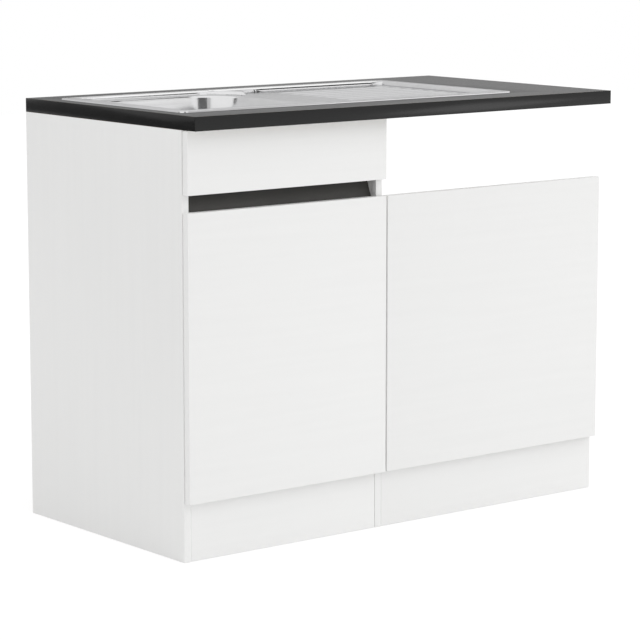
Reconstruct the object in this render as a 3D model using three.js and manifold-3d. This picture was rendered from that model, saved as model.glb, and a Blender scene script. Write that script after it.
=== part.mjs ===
// Kitchen sink unit, 110 cm: a sink base cabinet on the left and, under the same worktop,
// a place for a built-in dishwasher with its own front and plinth board.
// Millimetres, +Z up. x runs to the right, y runs to the wall, and the unit is seen from -y.
// The origin lies on the floor, under the centre of the worktop.

import * as THREE from "three";
import { mergeVertices } from "three/addons/utils/BufferGeometryUtils.js";
import Module from "manifold-3d";

const wasm = await Module();
wasm.setup();

// ---------------------------------------------------------------- driving dimensions

// Whole unit
const CABINET_WIDTH = 500;
const BAY_WIDTH = 600;
const WORKTOP_DEPTH = 600;
const WORKTOP_HEIGHT = 880;
const WORKTOP_THICKNESS = 28;
const EDGE_BAND = 0.8;
const FIT = 0.3; // gap between pieces that touch

// Carcass
const BOARD = 16;
const CARCASS_SETBACK = 46; // from the worktop's front edge to the side panels' front edges
const PLINTH_HEIGHT = 120;
const RAIL_HEIGHT = 90; // of the two rails at the back
const PLINTH_JOINT = 1; // open joint between the plinth board and the right side panel

// Fronts
const FRONT_THICKNESS = 16;
const FRONT_GAP = 0.9; // from the carcass to the rear of the fronts
const REVEAL = 2; // from a front's edge to the outside of what it covers
const FRONT_BOTTOM = 119;
const GRIP_OPENING = 34; // between the door's top edge and the fascia
const FASCIA_HEIGHT = 125;
const FASCIA_TOP_GAP = 1;

// Grip channel behind the opening
const CHANNEL_SHEET = 2;
const CHANNEL_DEPTH = 30; // at its top, behind the carcass front
const CHANNEL_FOOT_DEPTH = 6; // at its foot
const CHANNEL_DROP = 26; // how far its foot lies under the door's top edge

// Sink
const SINK_WIDTH = 860;
const SINK_DEPTH = 435;
const SINK_MARGIN = 29; // from the worktop's left edge to the rim
const SINK_CORNER = 12;
const CUTOUT_MARGIN = 10; // rim over the worktop's cut-out
const SHEET = 0.8;
const RIM_RISE = 3.3;
const RIM_BORDER = 30;
const FIELD_DROP = 7;
const BOWL_MARGIN = 37; // from the rim's left edge to the bowl
const BOWL_WIDTH = 334;
const BOWL_LENGTH = 340;
const BOWL_DEPTH = 150;
const BOWL_CORNER = 80;
const BOWL_LIP = 5; // the roll at the bowl's top edge
const BOWL_DRAFT = 7; // how far the walls lean in on the way down
const BOWL_FILLET = 26;
const BOWL_FIELD_CORNER = 78; // round right end of the bowl's field
const BOWL_FIELD_MARGIN = 33; // field to the right of the bowl
const DRAINER_CORNER = 110; // round left end of the drainer's field
const RIB_COUNT = 7;
const RIB_PITCH = 38;
const RIB_WIDTH = 14;
const RIB_HEIGHT = 2.5;
const RIB_END_MARGIN = 34;

// Waste
const DRAIN_HOLE = 44; // radius
const DRAIN_RECESS = 57; // radius
const DRAIN_RECESS_DEPTH = 2.5;
const OUTLET_RADIUS = 20;
const PIPE_WALL = 2;
const NECK_LENGTH = 17; // the flange's neck in the strainer cup
const PLUG_DEPTH = 13; // how far the plug reaches into the cup
const KNOB_RADIUS = 10;
const STRAINER_CUP_DEPTH = 52;
const STRAINER_CUP_WALL = 36; // the cup's upright wall, above its funnel
const OUTLET_LENGTH = 34;
const PORT_DROP = 16; // from the cup's top to the middle of its overflow port
const PORT_LENGTH = 20;
const TRAP_RADIUS = 34;
const TRAP_HEIGHT = 74;
const TRAP_CUP_HEIGHT = 84;
const TRAP_ARM = 24; // how far the trap's arm stands out of its body
const OVERFLOW_DROP = 50; // under the field
const OVERFLOW_RADIUS = 15;
const OVERFLOW_COVER = 22.5; // radius
const ELBOW_FLANGE = 24; // radius
const ELBOW_DEPTH = 30;
const OVERFLOW_PIPE = 10; // radius
const OVERFLOW_BEND = 30; // radius of the pipe's turn into the cup

// Cam fittings
const CAM_RADIUS = 7.5;
const CAM_DEPTH = 12.5;
const CAM_INSET = 34; // from the board's end to the cam's centre
const BOLT_RADIUS = 3.5;
const BOLT_GRIP = 11; // length held in the side panel
const CAM_END_MARGIN = 50; // from the bottom panel's front and back edges

// Hinges
const HINGE_MARGIN = 100; // from the door's ends to the hinges
const CUP_RADIUS = 17.5;
const CUP_INSET = 5; // from the door's edge to the cup
const CUP_DEPTH = 11.5;
const CUP_WALL = 1;
const CUP_WING_WIDTH = 24;
const CUP_WING_HEIGHT = 63;
const PLATE_WING = 52;
const SPINE_WIDTH = 11;
const SPINE_HEIGHT = 6;
const SPINE_LENGTH = 46;
const ARM_HEIGHT = 15.4;
const NOSE_DEPTH = 8; // how far the arm reaches into the cup
const HINGE_LINE_OFFSET = 1; // from the door's left edge out to the line it turns about
const PLATE_SETBACK = 37; // from the side panel's front edge to the plate's screws
const BUMPER_RADIUS = 5;
const BUMPER_STEM = 6;
const BUMPER_MARGIN = 16; // from the door's ends

// Small fittings
const BRACKET_SHEET = 2;
const BRACKET_LEG = 24;
const BRACKET_WIDTH = 26;
const BRACKET_CLEARANCE = 4; // over and under the fascia's brackets
const SCREW_HOLE = 2; // radius
const SCREW_MARGIN = 10; // from a leg's end to its screw hole
const GASKET_WIDTH = 8;
const CLAMP_WIDTH = 18;
const CLAMP_REACH = 18;
const CLAMP_END_MARGIN = 60; // from the cut-out's ends

// ---------------------------------------------------------------- sizes worked out from them

const WORKTOP_WIDTH = CABINET_WIDTH + BAY_WIDTH;
const UNDERSIDE = WORKTOP_HEIGHT - WORKTOP_THICKNESS;
const CABINET_X = (CABINET_WIDTH - WORKTOP_WIDTH) / 2;
const BAY_X = (WORKTOP_WIDTH - BAY_WIDTH) / 2;
const BACK = WORKTOP_DEPTH / 2;
const CARCASS_FRONT = CARCASS_SETBACK - WORKTOP_DEPTH / 2;
const CARCASS_DEPTH = BACK - CARCASS_FRONT;
const CARCASS_HEIGHT = UNDERSIDE - FIT;
const INNER_WIDTH = CABINET_WIDTH - 2 * BOARD;
const BOARD_LENGTH = INNER_WIDTH - 2 * FIT; // a board between the side panels
const FRONT_REAR = CARCASS_FRONT - FRONT_GAP;
const FASCIA_BOTTOM = UNDERSIDE - FASCIA_TOP_GAP - FASCIA_HEIGHT;
const FRONT_TOP = FASCIA_BOTTOM - GRIP_OPENING; // top edge of the door and the dishwasher front
const FRONT_HEIGHT = FRONT_TOP - FRONT_BOTTOM;
const FASCIA_BRACKET_FOOT = FASCIA_BOTTOM + CHANNEL_SHEET + BRACKET_CLEARANCE;
const FRONT_RAIL_FOOT = FASCIA_BRACKET_FOOT + BRACKET_WIDTH + BRACKET_CLEARANCE;
const DOOR_WIDTH = CABINET_WIDTH - 2 * REVEAL;
const RIM_TOP = WORKTOP_HEIGHT + RIM_RISE;
const FIELD = RIM_TOP - FIELD_DROP;
const SINK_X = SINK_MARGIN + (SINK_WIDTH - WORKTOP_WIDTH) / 2;
const BOWL_X = BOWL_MARGIN + (BOWL_WIDTH - SINK_WIDTH) / 2; // from the sink's centre
const CUTOUT_WIDTH = SINK_WIDTH - 2 * CUTOUT_MARGIN;
const CUTOUT_DEPTH = SINK_DEPTH - 2 * CUTOUT_MARGIN;

// ---------------------------------------------------------------- finishes

function finish(color, roughness, metalness) {
  return new THREE.MeshStandardMaterial({ color, roughness, metalness });
}

const whiteBoard = finish(0xf1f1ee, 0.5, 0);
const anthracite = finish(0x2b2a2a, 0.55, 0);
const worktopDecor = finish(0x3d3c3c, 0.45, 0);
const stainless = finish(0xc9cacb, 0.3, 1);
const zinc = finish(0xa9abad, 0.4, 1);
const nickel = finish(0xbcbdbe, 0.25, 1);
const whitePlastic = finish(0xe9e9e6, 0.45, 0);
const darkRubber = finish(0x1c1c1d, 0.8, 0);
const clearPad = finish(0xd9dcdb, 0.35, 0);

// ---------------------------------------------------------------- shapes

function block(width, depth, height) {
  return new THREE.BoxGeometry(width, depth, height);
}

// A block given by its lowest and highest corners.
function span(x0, x1, y0, y1, z0, z1) {
  const shape = block(x1 - x0, y1 - y0, z1 - z0);
  return shape.translate((x0 + x1) / 2, (y0 + y1) / 2, (z0 + z1) / 2);
}

// A round bar along z, standing on z = 0.
function bar(radius, length, sides = 16) {
  const shape = new THREE.CylinderGeometry(radius, radius, length, sides);
  return shape.rotateX(Math.PI / 2).translate(0, 0, length / 2);
}

// A flat outline drawn in x and y, raised along z from z0 to z1.
function raise(outline, z0, z1, curveSegments = 5) {
  const options = { depth: z1 - z0, bevelEnabled: false, curveSegments };
  return new THREE.ExtrudeGeometry(outline, options).translate(0, 0, z0);
}

// A section drawn in y and z, carried along x, centred on x = 0.
function carry(section, length) {
  const shape = raise(section, -length / 2, length / 2);
  return shape.rotateY(Math.PI / 2).rotateX(Math.PI / 2);
}

// A section of corner points [radius, z], turned about z; it closes on itself.
function turn(corners, sides = 32) {
  const points = corners.map(([r, z]) => new THREE.Vector2(r, z));
  points.push(points[0].clone());
  return new THREE.LatheGeometry(points, sides).rotateX(Math.PI / 2);
}

// A rectangle centred on (cx, cy) with its own radius at each corner:
// [left front, right front, right back, left back].
function rectangle(cx, cy, width, depth, radii) {
  const [lf, rf, rb, lb] = radii;
  const [x0, x1] = [cx - width / 2, cx + width / 2];
  const [y0, y1] = [cy - depth / 2, cy + depth / 2];
  const outline = new THREE.Shape();
  const corner = (x, y, r, start) => {
    if (r > 0) outline.absarc(x, y, r, start, start + Math.PI / 2, false);
    else outline.lineTo(x, y);
  };
  outline.moveTo(x0 + lf, y0);
  outline.lineTo(x1 - rf, y0);
  corner(x1 - rf, y0 + rf, rf, -Math.PI / 2);
  outline.lineTo(x1, y1 - rb);
  corner(x1 - rb, y1 - rb, rb, 0);
  outline.lineTo(x0 + lb, y1);
  corner(x0 + lb, y1 - lb, lb, Math.PI / 2);
  outline.lineTo(x0, y0 + lf);
  corner(x0 + lf, y0 + lf, lf, Math.PI);
  return outline;
}

function evenRectangle(width, depth, radius) {
  return rectangle(0, 0, width, depth, [radius, radius, radius, radius]);
}

// A solid through rounded rectangles [width, depth, radius, z], listed from the top down.
function loft(rings, cornerSteps = 6) {
  const positions = [];
  const rows = rings.map(([width, depth, radius, z]) => {
    const row = [];
    for (let corner = 0; corner < 4; corner++) {
      const right = corner === 0 || corner === 3 ? 1 : -1;
      const back = corner < 2 ? 1 : -1;
      for (let step = 0; step <= cornerSteps; step++) {
        const angle = (corner + step / cornerSteps) * (Math.PI / 2);
        const x = right * (width / 2 - radius) + radius * Math.cos(angle);
        const y = back * (depth / 2 - radius) + radius * Math.sin(angle);
        row.push([x, y, z]);
      }
    }
    return row;
  });
  const count = rows[0].length;
  const top = [0, 0, rings[0][3]];
  const foot = [0, 0, rings[rings.length - 1][3]];
  for (let i = 0; i < count; i++) {
    const j = (i + 1) % count;
    positions.push(...top, ...rows[0][i], ...rows[0][j]);
    for (let k = 0; k + 1 < rows.length; k++) {
      const [upper, lower] = [rows[k], rows[k + 1]];
      positions.push(...upper[i], ...lower[i], ...upper[j]);
      positions.push(...upper[j], ...lower[i], ...lower[j]);
    }
    const last = rows[rows.length - 1];
    positions.push(...foot, ...last[j], ...last[i]);
  }
  const shape = new THREE.BufferGeometry();
  shape.setAttribute("position", new THREE.Float32BufferAttribute(positions, 3));
  return shape;
}

// ---------------------------------------------------------------- cutting and joining

function solidOf(shape) {
  const bare = shape.clone();
  bare.deleteAttribute("normal");
  bare.deleteAttribute("uv");
  const merged = mergeVertices(bare, 1e-4);
  const triVerts = new Uint32Array(merged.index.array);
  const vertProperties = merged.attributes.position.array;
  return new wasm.Manifold(new wasm.Mesh({ numProp: 3, vertProperties, triVerts }));
}

function shapeOf(solid) {
  const mesh = solid.getMesh();
  const shape = new THREE.BufferGeometry();
  shape.setAttribute("position", new THREE.Float32BufferAttribute(mesh.vertProperties, 3));
  shape.setIndex(new THREE.Uint32BufferAttribute(mesh.triVerts, 1));
  const faceted = shape.toNonIndexed();
  faceted.computeVertexNormals();
  return faceted;
}

function cut(shape, ...tools) {
  const rest = (solid, tool) => solid.subtract(solidOf(tool));
  return shapeOf(tools.reduce(rest, solidOf(shape)));
}

function join(shape, ...others) {
  const sum = (solid, other) => solid.add(solidOf(other));
  return shapeOf(others.reduce(sum, solidOf(shape)));
}

// ---------------------------------------------------------------- scene graph

const unit = new THREE.Group();

function groupAt(parent, x, y, z) {
  const group = new THREE.Group();
  group.position.set(x, y, z);
  parent.add(group);
  return group;
}

function place(parent, name, shape, material, x = 0, y = 0, z = 0) {
  const mesh = new THREE.Mesh(shape, material);
  mesh.name = name;
  mesh.position.set(x, y, z);
  parent.add(mesh);
  return mesh;
}

const worktopGroup = groupAt(unit, 0, 0, UNDERSIDE);
const cabinet = groupAt(unit, CABINET_X, 0, 0);
const bay = groupAt(unit, BAY_X, 0, 0);
const sink = groupAt(unit, SINK_X, 0, FIELD);
const bowl = groupAt(sink, BOWL_X, 0, 0);
const drain = groupAt(bowl, 0, 0, -BOWL_DEPTH);

// ---------------------------------------------------------------- cam fittings

// A connecting bolt along x with its cam: the board's end lies at x = 0, the board on +x,
// and the cam opens on the board's face at z = -BOARD / 2. grow widens it to make its bores.
function camFitting(grow = 0) {
  const face = -BOARD / 2;
  const bolt = bar(BOLT_RADIUS + grow, BOLT_GRIP + CAM_INSET + grow, 10);
  bolt.rotateY(Math.PI / 2).translate(-BOLT_GRIP - grow, 0, 0);
  const cam = bar(CAM_RADIUS + grow, CAM_DEPTH + 2 * grow, 16);
  cam.translate(CAM_INSET, 0, face - grow);
  return join(bolt, cam);
}

// Where the fittings sit in the cabinet: [name, y, z, turn about x that aims the cam].
const FRONT_RAIL_Z = (FRONT_RAIL_FOOT + CARCASS_HEIGHT) / 2;
const RAIL_Z = CARCASS_HEIGHT - RAIL_HEIGHT / 2;
const BOTTOM_Z = PLINTH_HEIGHT + BOARD / 2;
const camSeats = [
  ["bottom_front", CARCASS_FRONT + CAM_END_MARGIN, BOTTOM_Z, 0],
  ["bottom_back", BACK - CAM_END_MARGIN, BOTTOM_Z, 0],
  ["front_rail", CARCASS_FRONT + BOARD / 2, FRONT_RAIL_Z, Math.PI / 2],
  ["back_rail", BACK - BOARD / 2, RAIL_Z, -Math.PI / 2],
];

// Each seat at the left end (side -1) or the right end (side 1), as a matrix in the cabinet.
function camMatrix(seat, side) {
  const [, y, z, aim] = seat;
  const matrix = new THREE.Matrix4().makeRotationX(aim);
  const about = new THREE.Matrix4().makeRotationZ(side > 0 ? Math.PI : 0);
  matrix.multiply(about);
  return matrix.setPosition((side * BOARD_LENGTH) / 2, y, z);
}

// Cuts into a board, whose centre lies at (x, y, z) in the cabinet, those tools that reach it.
function cutInPlace(board, x, y, z, tools) {
  const reach = new THREE.Box3().setFromBufferAttribute(board.attributes.position);
  reach.translate(new THREE.Vector3(x, y, z));
  const near = tools.filter((tool) => {
    tool.computeBoundingBox();
    return tool.boundingBox.intersectsBox(reach);
  });
  return cut(board, ...near.map((tool) => tool.translate(-x, -y, -z)));
}

// The fittings' bores at the left end (side -1), the right end (side 1) or both.
function camBores(sides = [-1, 1]) {
  return camSeats.flatMap((seat) =>
    sides.map((side) => camFitting(FIT).applyMatrix4(camMatrix(seat, side))),
  );
}

function makeCamFittings() {
  for (const seat of camSeats) {
    for (const [word, side] of [["left", -1], ["right", 1]]) {
      const mesh = place(cabinet, `cam_${seat[0]}_${word}`, camFitting(), zinc);
      mesh.applyMatrix4(camMatrix(seat, side));
    }
  }
}

// ---------------------------------------------------------------- where the sink clamps sit

const CLAMP_Y = CUTOUT_DEPTH / 2 - FIT - BRACKET_SHEET; // from the sink's centre to their backs
const CLAMP_FOOT = BRACKET_SHEET + CLAMP_REACH;
const CLAMP_X = CUTOUT_WIDTH / 2 - CLAMP_END_MARGIN;

// [name, x, side of the sink: -1 front, 1 back], in the sink's group.
const clampSeats = [["front", -1], ["back", 1]].flatMap(([row, side]) => [
  [`${row}_left`, -CLAMP_X, side],
  [`${row}_middle`, 0, side],
  [`${row}_right`, CLAMP_X, side],
]);

// Room for the clamps' feet in a rail that runs close to the cut-out, in the cabinet's group.
function clampRooms() {
  return clampSeats.map(([, x, side]) => {
    const depth = CLAMP_FOOT + 2 * FIT;
    const room = block(CLAMP_WIDTH + 2 * FIT, depth, 2 * (BRACKET_SHEET + FIT));
    const y = side * (CLAMP_Y + CLAMP_FOOT / 2);
    return room.translate(SINK_X - CABINET_X + x, y, CARCASS_HEIGHT);
  });
}

// ---------------------------------------------------------------- worktop

function makeWorktop() {
  const band = EDGE_BAND + FIT;
  const width = WORKTOP_WIDTH - 2 * band;
  const depth = WORKTOP_DEPTH - band;
  const core = block(width, depth, WORKTOP_THICKNESS);
  core.translate(0, band / 2, WORKTOP_THICKNESS / 2);
  const hole = raise(
    evenRectangle(CUTOUT_WIDTH, CUTOUT_DEPTH, SINK_CORNER),
    -1,
    WORKTOP_THICKNESS + 1,
    4,
  );
  hole.translate(SINK_X, 0, 0);
  place(worktopGroup, "worktop", cut(core, hole), worktopDecor);

  const front = block(WORKTOP_WIDTH, EDGE_BAND, WORKTOP_THICKNESS);
  const frontY = (EDGE_BAND - WORKTOP_DEPTH) / 2;
  place(worktopGroup, "worktop_edge_front", front, anthracite, 0, frontY, WORKTOP_THICKNESS / 2);
  for (const [word, side] of [["left", -1], ["right", 1]]) {
    const end = block(EDGE_BAND, depth, WORKTOP_THICKNESS);
    const x = (side * (WORKTOP_WIDTH - EDGE_BAND)) / 2;
    const name = `worktop_edge_${word}`;
    place(worktopGroup, name, end, anthracite, x, band / 2, WORKTOP_THICKNESS / 2);
  }
}

// ---------------------------------------------------------------- carcass

function makeSidePanels() {
  const y = (CARCASS_FRONT + BACK) / 2;
  for (const [word, side] of [["left", -1], ["right", 1]]) {
    const x = (side * (CABINET_WIDTH - BOARD)) / 2;
    const panel = block(BOARD, CARCASS_DEPTH, CARCASS_HEIGHT);
    const bored = cutInPlace(panel, x, y, CARCASS_HEIGHT / 2, camBores([side]));
    place(cabinet, `side_panel_${word}`, bored, whiteBoard, x, y, CARCASS_HEIGHT / 2);
  }
}

function makeBottomPanel() {
  const y = (CARCASS_FRONT + BACK) / 2;
  const panel = block(BOARD_LENGTH, CARCASS_DEPTH, BOARD);
  const bored = cutInPlace(panel, 0, y, BOTTOM_Z, camBores());
  place(cabinet, "bottom_panel", bored, whiteBoard, 0, y, BOTTOM_Z);
}

function makeRails() {
  const rails = [
    ["front_rail", CARCASS_FRONT + BOARD / 2, FRONT_RAIL_Z, CARCASS_HEIGHT - FRONT_RAIL_FOOT],
    ["back_rail_upper", BACK - BOARD / 2, RAIL_Z, RAIL_HEIGHT],
  ];
  for (const [name, y, z, height] of rails) {
    const rail = block(BOARD_LENGTH, BOARD, height);
    const fitted = cutInPlace(rail, 0, y, z, [...camBores(), ...clampRooms()]);
    place(cabinet, name, fitted, whiteBoard, 0, y, z);
  }
  const z = PLINTH_HEIGHT + BOARD + FIT + RAIL_HEIGHT / 2;
  const lower = block(BOARD_LENGTH, BOARD, RAIL_HEIGHT);
  place(cabinet, "back_rail_lower", lower, whiteBoard, 0, BACK - BOARD / 2, z);
}

// An angle bracket with one leg on z = 0 and one standing at y = 0, both towards +y and +z.
function angleBracket(leg, width) {
  const section = new THREE.Shape();
  section.moveTo(0, 0);
  section.lineTo(leg, 0);
  section.lineTo(leg, BRACKET_SHEET);
  section.lineTo(BRACKET_SHEET, BRACKET_SHEET);
  section.lineTo(BRACKET_SHEET, leg);
  section.lineTo(0, leg);
  const hole = bar(SCREW_HOLE, 3 * BRACKET_SHEET, 8);
  const flat = hole.clone().translate(0, leg - SCREW_MARGIN, -BRACKET_SHEET);
  const upright = hole.rotateX(-Math.PI / 2).translate(0, -BRACKET_SHEET, leg - SCREW_MARGIN);
  return cut(carry(section, width), flat, upright);
}

// Four brackets that hold the worktop to the rails, in the corner under it, at a third and at
// two thirds of the way from the left clamps to the middle ones.
function makeWorktopBrackets() {
  const frontFace = CARCASS_FRONT + BOARD + FIT;
  const backFace = BACK - BOARD - FIT;
  for (const [word, thirds] of [["left", 2], ["right", 1]]) {
    const x = SINK_X - CABINET_X - (thirds * CLAMP_X) / 3;
    for (const [row, y, facing] of [["front", frontFace, 1], ["back", backFace, -1]]) {
      const shape = angleBracket(BRACKET_LEG, BRACKET_WIDTH).rotateX(-Math.PI / 2);
      if (facing < 0) shape.rotateZ(Math.PI);
      place(cabinet, `worktop_bracket_${row}_${word}`, shape, zinc, x, y, UNDERSIDE - FIT);
    }
  }
}

// ---------------------------------------------------------------- fascia and grip channel

function makeFascia() {
  const panel = block(DOOR_WIDTH, FRONT_THICKNESS, FASCIA_HEIGHT);
  const y = FRONT_REAR - FRONT_THICKNESS / 2;
  const middle = FASCIA_BOTTOM + FASCIA_HEIGHT / 2;
  const fitted = cutInPlace(panel, 0, y, middle, clampRooms());
  place(cabinet, "fascia_panel", fitted, whiteBoard, 0, y, middle);
  const z = FASCIA_BRACKET_FOOT + BRACKET_WIDTH / 2;
  for (const [word, side] of [["left", -1], ["right", 1]]) {
    const shape = angleBracket(BRACKET_LEG, BRACKET_WIDTH);
    shape.rotateY((-side * Math.PI) / 2);
    const x = side * (INNER_WIDTH / 2 - FIT);
    place(cabinet, `fascia_bracket_${word}`, shape, zinc, x, FRONT_REAR + FIT, z);
  }
}

// The dark channel behind the grip opening: a leaning web with a flange at its top and foot.
function channelSection() {
  const top = FASCIA_BOTTOM;
  const foot = FRONT_TOP - CHANNEL_DROP;
  const section = new THREE.Shape();
  section.moveTo(0, top);
  section.lineTo(CHANNEL_DEPTH, top);
  section.lineTo(CHANNEL_FOOT_DEPTH, foot);
  section.lineTo(0, foot);
  section.lineTo(0, foot - CHANNEL_SHEET);
  section.lineTo(CHANNEL_FOOT_DEPTH + CHANNEL_SHEET, foot - CHANNEL_SHEET);
  section.lineTo(CHANNEL_DEPTH + CHANNEL_SHEET, top + CHANNEL_SHEET);
  section.lineTo(0, top + CHANNEL_SHEET);
  return section;
}

function makeGripChannel() {
  const shape = carry(channelSection(), BOARD_LENGTH);
  place(cabinet, "grip_channel", shape, anthracite, 0, CARCASS_FRONT, 0);
}

// ---------------------------------------------------------------- door and hinges

const HINGE_LINE_X = -DOOR_WIDTH / 2 - HINGE_LINE_OFFSET; // by the door's outer rear edge
const door = groupAt(cabinet, HINGE_LINE_X, FRONT_REAR, FRONT_BOTTOM);
const DOOR_X = -DOOR_WIDTH / 2 - HINGE_LINE_X; // the door's left edge, from the hinge line
const CUP_X = DOOR_X + CUP_INSET + CUP_RADIUS;
const hingeHeights = [["lower", HINGE_MARGIN], ["upper", FRONT_HEIGHT - HINGE_MARGIN]];

function makeDoor() {
  const panel = block(DOOR_WIDTH, FRONT_THICKNESS, FRONT_HEIGHT);
  panel.translate(DOOR_X + DOOR_WIDTH / 2, -FRONT_THICKNESS / 2, FRONT_HEIGHT / 2);
  const bores = hingeHeights.map(([, z]) => {
    const bore = bar(CUP_RADIUS + FIT, CUP_DEPTH + FIT + 1, 24);
    return bore.rotateX(-Math.PI / 2).translate(CUP_X, -CUP_DEPTH - FIT, z);
  });
  const stemX = DOOR_X + DOOR_WIDTH + REVEAL - BOARD / 2;
  const bumperHeights = [["lower", BUMPER_MARGIN], ["upper", FRONT_HEIGHT - BUMPER_MARGIN]];
  for (const [word, z] of bumperHeights) {
    const bore = bar(BUMPER_RADIUS / 2 + FIT, BUMPER_STEM + FIT + 1, 12);
    bores.push(bore.rotateX(-Math.PI / 2).translate(stemX, -BUMPER_STEM - FIT, z));
    place(door, `door_bumper_${word}`, doorBumper(), clearPad, stemX, 0, z);
  }
  place(door, "door", cut(panel, ...bores), whiteBoard);
}

// A push-in bumper: its stem sits in the door, its head shows on the door's rear.
function doorBumper() {
  const stem = BUMPER_RADIUS / 2;
  const section = [
    [0, -BUMPER_STEM],
    [stem, -BUMPER_STEM],
    [stem, FIT / 2],
    [BUMPER_RADIUS, FIT / 2],
    [BUMPER_RADIUS, FRONT_GAP - FIT],
    [0, FRONT_GAP - FIT],
  ];
  return turn(section, 12).rotateX(-Math.PI / 2);
}

// A hinge cup let into the door, open to the rear, with a flat wing above and below it.
function hingeCup() {
  const inner = CUP_RADIUS - CUP_WALL;
  const wing = FRONT_GAP / 2;
  const shell = turn(
    [
      [0, -CUP_DEPTH],
      [CUP_RADIUS, -CUP_DEPTH],
      [CUP_RADIUS, wing],
      [inner, wing],
      [inner, CUP_WALL - CUP_DEPTH],
      [0, CUP_WALL - CUP_DEPTH],
    ],
    24,
  );
  const plate = raise(evenRectangle(CUP_WING_WIDTH, CUP_WING_HEIGHT, 4), FIT / 2, wing, 3);
  const mouth = bar(inner, FRONT_GAP, 24);
  return join(shell, cut(plate, mouth)).rotateX(-Math.PI / 2);
}

// The mounting plate on the side panel's inner face, which lies at x = 0.
function hingePlate() {
  const half = SPINE_WIDTH / 2;
  const wing = span(0, BRACKET_SHEET, -half, half, -PLATE_WING / 2, PLATE_WING / 2);
  const spine = span(0, SPINE_HEIGHT, -SPINE_LENGTH / 2, SPINE_LENGTH / 2, -half, half);
  return join(wing, spine);
}

// The arm over the plate's spine, with its nose reaching forward into the cup.
function hingeArm() {
  const back = SPINE_LENGTH / 2;
  const base = SPINE_HEIGHT + FIT;
  const top = base + SPINE_WIDTH / 2;
  const mouth = -PLATE_SETBACK;
  const tip = mouth - NOSE_DEPTH;
  const bend = -back - BRACKET_SHEET; // just past the spine's front end
  const outline = new THREE.Shape();
  outline.moveTo(base, back);
  outline.lineTo(base, bend);
  outline.lineTo(BRACKET_SHEET, mouth + BRACKET_SHEET);
  outline.lineTo(BRACKET_SHEET, tip);
  outline.lineTo(top + BRACKET_SHEET, tip);
  outline.lineTo(top + BRACKET_SHEET, bend);
  outline.lineTo(top, back);
  return raise(outline, -ARM_HEIGHT / 2, ARM_HEIGHT / 2);
}

function makeHinges() {
  const face = -INNER_WIDTH / 2 + FIT;
  const y = CARCASS_FRONT + PLATE_SETBACK;
  for (const [word, height] of hingeHeights) {
    const z = FRONT_BOTTOM + height;
    place(door, `hinge_cup_${word}`, hingeCup(), nickel, CUP_X, 0, height);
    place(cabinet, `hinge_plate_${word}`, hingePlate(), nickel, face, y, z);
    place(cabinet, `hinge_arm_${word}`, hingeArm(), nickel, face, y, z);
  }
}

// ---------------------------------------------------------------- plinth and dishwasher front

function makePlinth() {
  const height = PLINTH_HEIGHT - FIT;
  const width = INNER_WIDTH - FIT - PLINTH_JOINT;
  const y = CARCASS_FRONT + BOARD / 2;
  const x = (FIT - PLINTH_JOINT) / 2;
  place(cabinet, "plinth_board", block(width, BOARD, height), whiteBoard, x, y, height / 2);
  const rear = CARCASS_FRONT + BOARD + FIT;
  for (const [word, side] of [["left", -1], ["right", 1]]) {
    const shape = angleBracket(BRACKET_LEG, BRACKET_WIDTH);
    shape.rotateY((-side * Math.PI) / 2);
    const seat = side * (INNER_WIDTH / 2 - FIT);
    place(cabinet, `plinth_bracket_${word}`, shape, zinc, seat, rear, PLINTH_HEIGHT / 2);
  }
}

function makeDishwasherPlace() {
  const width = BAY_WIDTH - 2 * REVEAL;
  const panel = block(width, FRONT_THICKNESS, FRONT_HEIGHT);
  const y = FRONT_REAR - FRONT_THICKNESS / 2;
  place(bay, "dishwasher_front", panel, whiteBoard, 0, y, FRONT_BOTTOM + FRONT_HEIGHT / 2);

  const height = FRONT_BOTTOM - FIT;
  const board = block(BAY_WIDTH - REVEAL - FIT, BOARD, height);
  const x = (FIT - REVEAL) / 2;
  place(bay, "dishwasher_plinth", board, whiteBoard, x, CARCASS_FRONT + BOARD / 2, height / 2);

  const shape = angleBracket(BRACKET_LEG, BRACKET_WIDTH).rotateY(Math.PI / 2);
  const seat = FIT - BAY_WIDTH / 2;
  const rear = CARCASS_FRONT + BOARD + FIT;
  place(bay, "dishwasher_plinth_bracket", shape, zinc, seat, rear, PLINTH_HEIGHT / 2);
}

// ---------------------------------------------------------------- sink

const FIELD_WIDTH = SINK_WIDTH - 2 * RIM_BORDER;
const FIELD_DEPTH = SINK_DEPTH - 2 * RIM_BORDER;
const BOWL_FIELD_END = BOWL_X + BOWL_WIDTH / 2 + BOWL_FIELD_MARGIN;

// The two sunk fields: the bowl's on the left and the drainer's on the right. Their round
// ends leave a raised land for the tap between them at the back.
function fields(grow, z0, z1) {
  const left = -FIELD_WIDTH / 2 - grow;
  const right = FIELD_WIDTH / 2 + grow;
  const depth = FIELD_DEPTH + 2 * grow;
  const tight = SINK_CORNER + grow;
  const seam = BOWL_FIELD_END + grow;
  const bowlSide = rectangle((left + seam) / 2, 0, seam - left, depth, [
    tight,
    0,
    BOWL_FIELD_CORNER + grow,
    tight,
  ]);
  const start = BOWL_FIELD_END - SINK_CORNER - grow;
  const drainerSide = rectangle((start + right) / 2, 0, right - start, depth, [
    0,
    tight,
    tight,
    DRAINER_CORNER + grow,
  ]);
  return [raise(bowlSide, z0, z1, 7), raise(drainerSide, z0, z1, 9)];
}

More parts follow.
